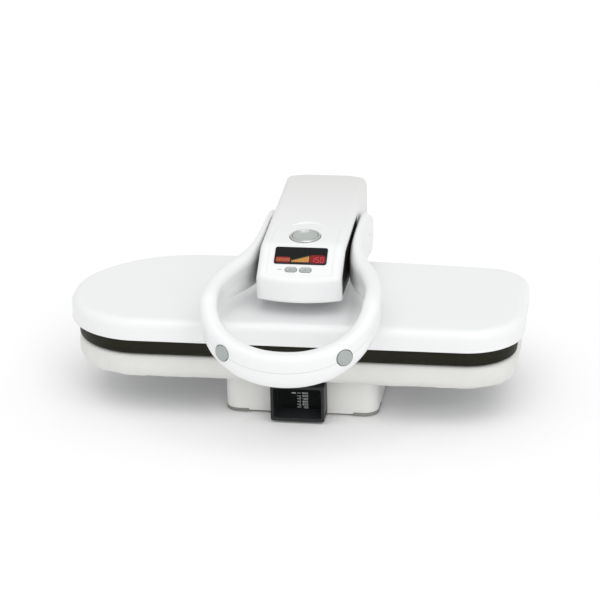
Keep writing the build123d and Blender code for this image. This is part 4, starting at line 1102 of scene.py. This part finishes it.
STATIONS = [
    (*loop_point(0), 13.5, 108.5, 157.5), (*loop_point(16), 13.5, 110.8, 159.2), (*loop_point(32), 13.2, 118.0, 166.0),
    (*loop_point(48), 12.8, 130.0, 177.3), (*loop_point(62), 12.4, 143.5, 189.5), (*loop_point(76), 12.0, 156.5, 201.3),
    (*loop_point(90), 12.0, 167.0, 212.0), (108.9, -138.0, 11.4, 172.0, 217.5), (96.9, -92.0, 12.2, 171.5, 220.5),
    (79.2, -50.0, 12.4, 170.5, 223.5), (71.2, -20.0, 8.2, 170.0, 228.5), (68.4, 22.0, 5.6, 167.0, 231.5),
    (68.1, 70.0, 5.4, 163.0, 232.5), (68.1, 112.0, 5.4, 158.0, 228.0), (68.1, 152.0, 5.4, 148.0, 208.0),
]


def handle_path():
    """Closely spaced sections of the right half: (x, y, half thickness, low, high, outward x, outward y)."""
    spots = [(-s[0], s[1], *s[2:]) for s in STATIONS[2:0:-1]] + list(STATIONS)
    rows = []
    for i in range(2, len(spots) - 1):
        p0, p1, p2 = spots[i - 1], spots[i], spots[i + 1]
        p3 = spots[i + 2] if i + 2 < len(spots) else tuple(2 * b - a for a, b in zip(p1, p2))
        steps = 9 if i < 10 else 7
        for k in range(steps):
            t = k / steps
            row = []
            for a, b, c, d in zip(p0, p1, p2, p3):
                row.append(0.5 * (2 * b + (c - a) * t + (2 * a - 5 * b + 4 * c - d) * t * t + (3 * b - a - 3 * c + d) * t ** 3))
            rows.append(row)
    # back end: a disc about the pivot
    last = spots[-1]
    for deg in (0, 9, 18, 27, 36, 45, 54, 62, 69, 75, 80, 84, 87):
        a = math.radians(deg)
        gap = 30.0 * (1 - math.sin(a))
        w = 5.4
        if gap < 4.0:
            w -= 4.0 - math.sqrt(max(0.0, 16.0 - (4.0 - gap) ** 2))
        rows.append([68.1, 152.0 + 30.0 * math.sin(a), w, 178.0 - 30.0 * math.cos(a), 178.0 + 30.0 * math.cos(a)])
    for row in rows:
        # the outer face draws in towards the pivot
        thin = 1.15 * smoothstep((row[1] - 84.0) / 70.0)
        row[2] -= thin
        row[0] -= thin
    out = []
    for i, row in enumerate(rows):
        a, b = rows[max(0, i - 1)], rows[min(len(rows) - 1, i + 1)]
        tx, ty = b[0] - a[0], b[1] - a[1]
        if i == 0:
            tx, ty = 1.0, 0.0
        k = math.hypot(tx, ty)
        out.append((*row, ty / k, -tx / k))
    return out


def half_section(w, low, high, upper):
    """One half-shell's outline as (outward, height) points, from its inner seam over the rim to its outer seam."""
    seam = (low + high) / 2
    rise = high - seam
    plump = smoothstep((w - 6.0) / 5.5)
    across = min(w * 0.88, 11.0)
    upright = min(across * 1.1 + plump * (rise * (0.52 if upper else 0.66) - across * 1.1), rise * 0.85)
    nip = min(0.5, w * 0.2)
    lift = min(0.7, rise * 0.3)
    points = [(-w, 0.01)]
    for t in (0.3, 0.65, 1.0):
        points.append((-w, (rise - upright) * t))
    for k in range(1, 10):
        a = math.pi / 2 * k / 9
        points.append((-w + across - across * math.cos(a), rise - upright + upright * math.sin(a)))
    for k in range(1, 4):
        t = k / 4
        points.append((-w + across + (2 * w - 2 * across) * t, rise + 0.2 * math.sin(math.pi * t) * min(1.0, (w - across) / 3.0)))
    for k in range(0, 10):
        a = math.pi / 2 * k / 9
        points.append((w - across + across * math.sin(a), rise - upright + upright * math.cos(a)))
    for t in (0.7, 0.35, 0.0):
        points.append((w, lift * 1.3 + max(0.0, rise - upright - lift * 1.3) * t))
    points += [(w - nip * 0.25, lift * 0.7), (w - nip, 0.1)]
    sign = 1 if upper else -1
    return [(u, seam + sign * v) for u, v in points]


def steam_frame(sign):
    a = math.radians(42.2)
    cx, cy = loop_point(42.2)
    nx, ny = 76.5 * math.sin(a), -111.5 * math.cos(a)
    k = math.hypot(nx, ny)
    nx, ny = nx / k, ny / k
    return at(sign * (cx + 12.9 * nx), cy + 12.9 * ny, 151.0), Vector((sign * nx, ny, 0.0))


def make_handle():
    path = handle_path()
    for upper in (True, False):
        bm = bmesh.new()
        right = []
        for x, y, w, low, high, ox, oy in path:
            ring = [(x + u * ox, y + u * oy, z) for u, z in half_section(w, low, high, upper)]
            right.append(ring)
        rings = [[at(-x, y, z) for x, y, z in ring] for ring in right[:0:-1]] + [[at(x, y, z) for x, y, z in ring] for ring in right]
        ring_stack(bm, rings, closed=False, cap_first=True, cap_last=True)
        name = "handle_upper_skin" if upper else "handle_lower_skin"
        node = "handle_upper_shell" if upper else "handle_lower_shell"
        skin = place_mesh(name, bm, "handle", "white_shell", node)
        pockets = []
        for sign in (-1, 1):
            spot, out = steam_frame(sign)
            pockets.append(lathe([(0.0, -9.0), (12.0, -9.0), (12.0, 8.0), (0.0, 8.0)], spot, out, Vector((0, 0, 1)), 64))
        cut(skin, *pockets)
        settle_shading(skin, 38.0)
    for sign, side in ((-1, "left"), (1, "right")):
        spot, out = steam_frame(sign)
        profile = [(0.0, -5.4), (10.9, -5.4), (11.1, -5.0), (11.1, 0.1), (10.95, 0.75), (10.5, 1.15), (9.9, 1.25), (9.4, 1.0), (9.0, 0.85),
                   (8.5, 1.0), (7.6, 1.3), (6.0, 1.55), (3.2, 1.75), (0.0, 1.8)]
        bm = lathe(profile, spot, out, Vector((0, 0, 1)), 64)
        place_mesh("steam_cap_" + side, bm, "steam_button_" + side, "button_grey", "steam_button_" + side, smooth_deg=50)


# ---------------------------------------------------------------- return springs
def make_springs():
    """Wound wire springs under the buttons."""
    def coil(name, node, body, foot, axis, across, radius, wire, height, turns):
        bm = bmesh.new()
        third = axis.cross(across)
        rings, steps = [], int(turns * 24)
        for i in range(steps + 1):
            t = i / steps
            a = 2 * math.pi * turns * t
            out = across * math.cos(a) + third * math.sin(a)
            middle = foot + (out * radius + axis * (height * t)) / 1000.0
            rings.append([middle + (out * math.cos(b) + axis * math.sin(b)) * (wire / 1000.0) for b in (2 * math.pi * k / 10 for k in range(10))])
        ring_stack(bm, rings, closed=False, cap_first=True, cap_last=True)
        spring = place_mesh(name, bm, body, SLOT_OF[node], node, smooth_deg=60)
        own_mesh(spring)

    coil("button_return_spring", "main_button_spring", "arm", on_top(BUTTON_Y, -21.2), TOP_OUT, RIGHT,
         9.0, 0.6, 15.4, 15.4 / 3.0)
    for sign, side in ((-1, "left"), (1, "right")):
        spot, out = steam_frame(sign)
        coil("steam_return_spring_" + side, "steam_button_springs", "handle",
             spot - out * 0.0107, out, Vector((0.0, 0.0, 1.0)), 5.6, 0.4, 4.8, 3.0)


# ---------------------------------------------------------------- tank scale
def make_tank_scale():
    """A filling scale of plain numbers and ticks on the tank's window."""
    p = Paint("scale_print")
    flake = p.noise(700.0, 3.0)
    ink = p.finish(p.mix(p.span(flake, 0.45, 0.75), (0.62, 0.63, 0.64), (0.42, 0.43, 0.44)), p.span(flake, 0.3, 0.7, 0.5, 0.65),
                   p.bump(flake, 0.1, 0.00003))
    bm = bmesh.new()
    segments = {"0": "abcdef", "1": "bc", "2": "abdeg", "3": "abcdg", "4": "bcfg", "5": "acdfg", "6": "acdefg"}

    def bar(x, z, w, h):
        y0, y1 = -116.12, -115.96
        corners = [(x - w / 2, z - h / 2), (x + w / 2, z - h / 2), (x + w / 2, z + h / 2), (x - w / 2, z + h / 2)]
        near = [bm.verts.new(at(a, y0, b)) for a, b in corners]
        far = [bm.verts.new(at(a, y1, b)) for a, b in corners]
        for i in range(4):
            j = (i + 1) % 4
            bm.faces.new((near[i], near[j], far[j], far[i]))
        bm.faces.new(near[::-1])
        bm.faces.new(far)

    for k, number in enumerate(("600", "500", "400", "300", "200", "100")):
        z = 38.0 - k * 4.3
        for j, digit in enumerate(number):
            cx = 5.6 + j * 2.9
            w, h = 1.8, 2.2
            for name in segments[digit]:
                dx, dz, bw, bh = {
                    "a": (0, h / 2, w, 0.5), "d": (0, -h / 2, w, 0.5), "g": (0, 0, w * 0.8, 0.5),
                    "b": (w / 2, h / 4, 0.5, h / 2 - 0.3), "c": (w / 2, -h / 4, 0.5, h / 2 - 0.3),
                    "f": (-w / 2, h / 4, 0.5, h / 2 - 0.3), "e": (-w / 2, -h / 4, 0.5, h / 2 - 0.3),
                }[name]
                bar(cx + dx, z + dz, bw, bh)
        bar(-0.2, z, 5.6, 0.55)
        if k == 0:
            bar(-7.6, z, 5.6, 1.3)
        elif k < 5:
            bar(0.9, z - 2.15, 3.2, 0.35)
    place_mesh("tank_scale", bm, "tank", "tank_gloss", smooth_deg=30, material=ink)


make_platen_cover()
make_board()
make_head()
make_buttons()
make_display()
make_handle()
make_springs()
make_tank_scale()


# ---------------------------------------------------------------- close
bpy.context.view_layer.update()
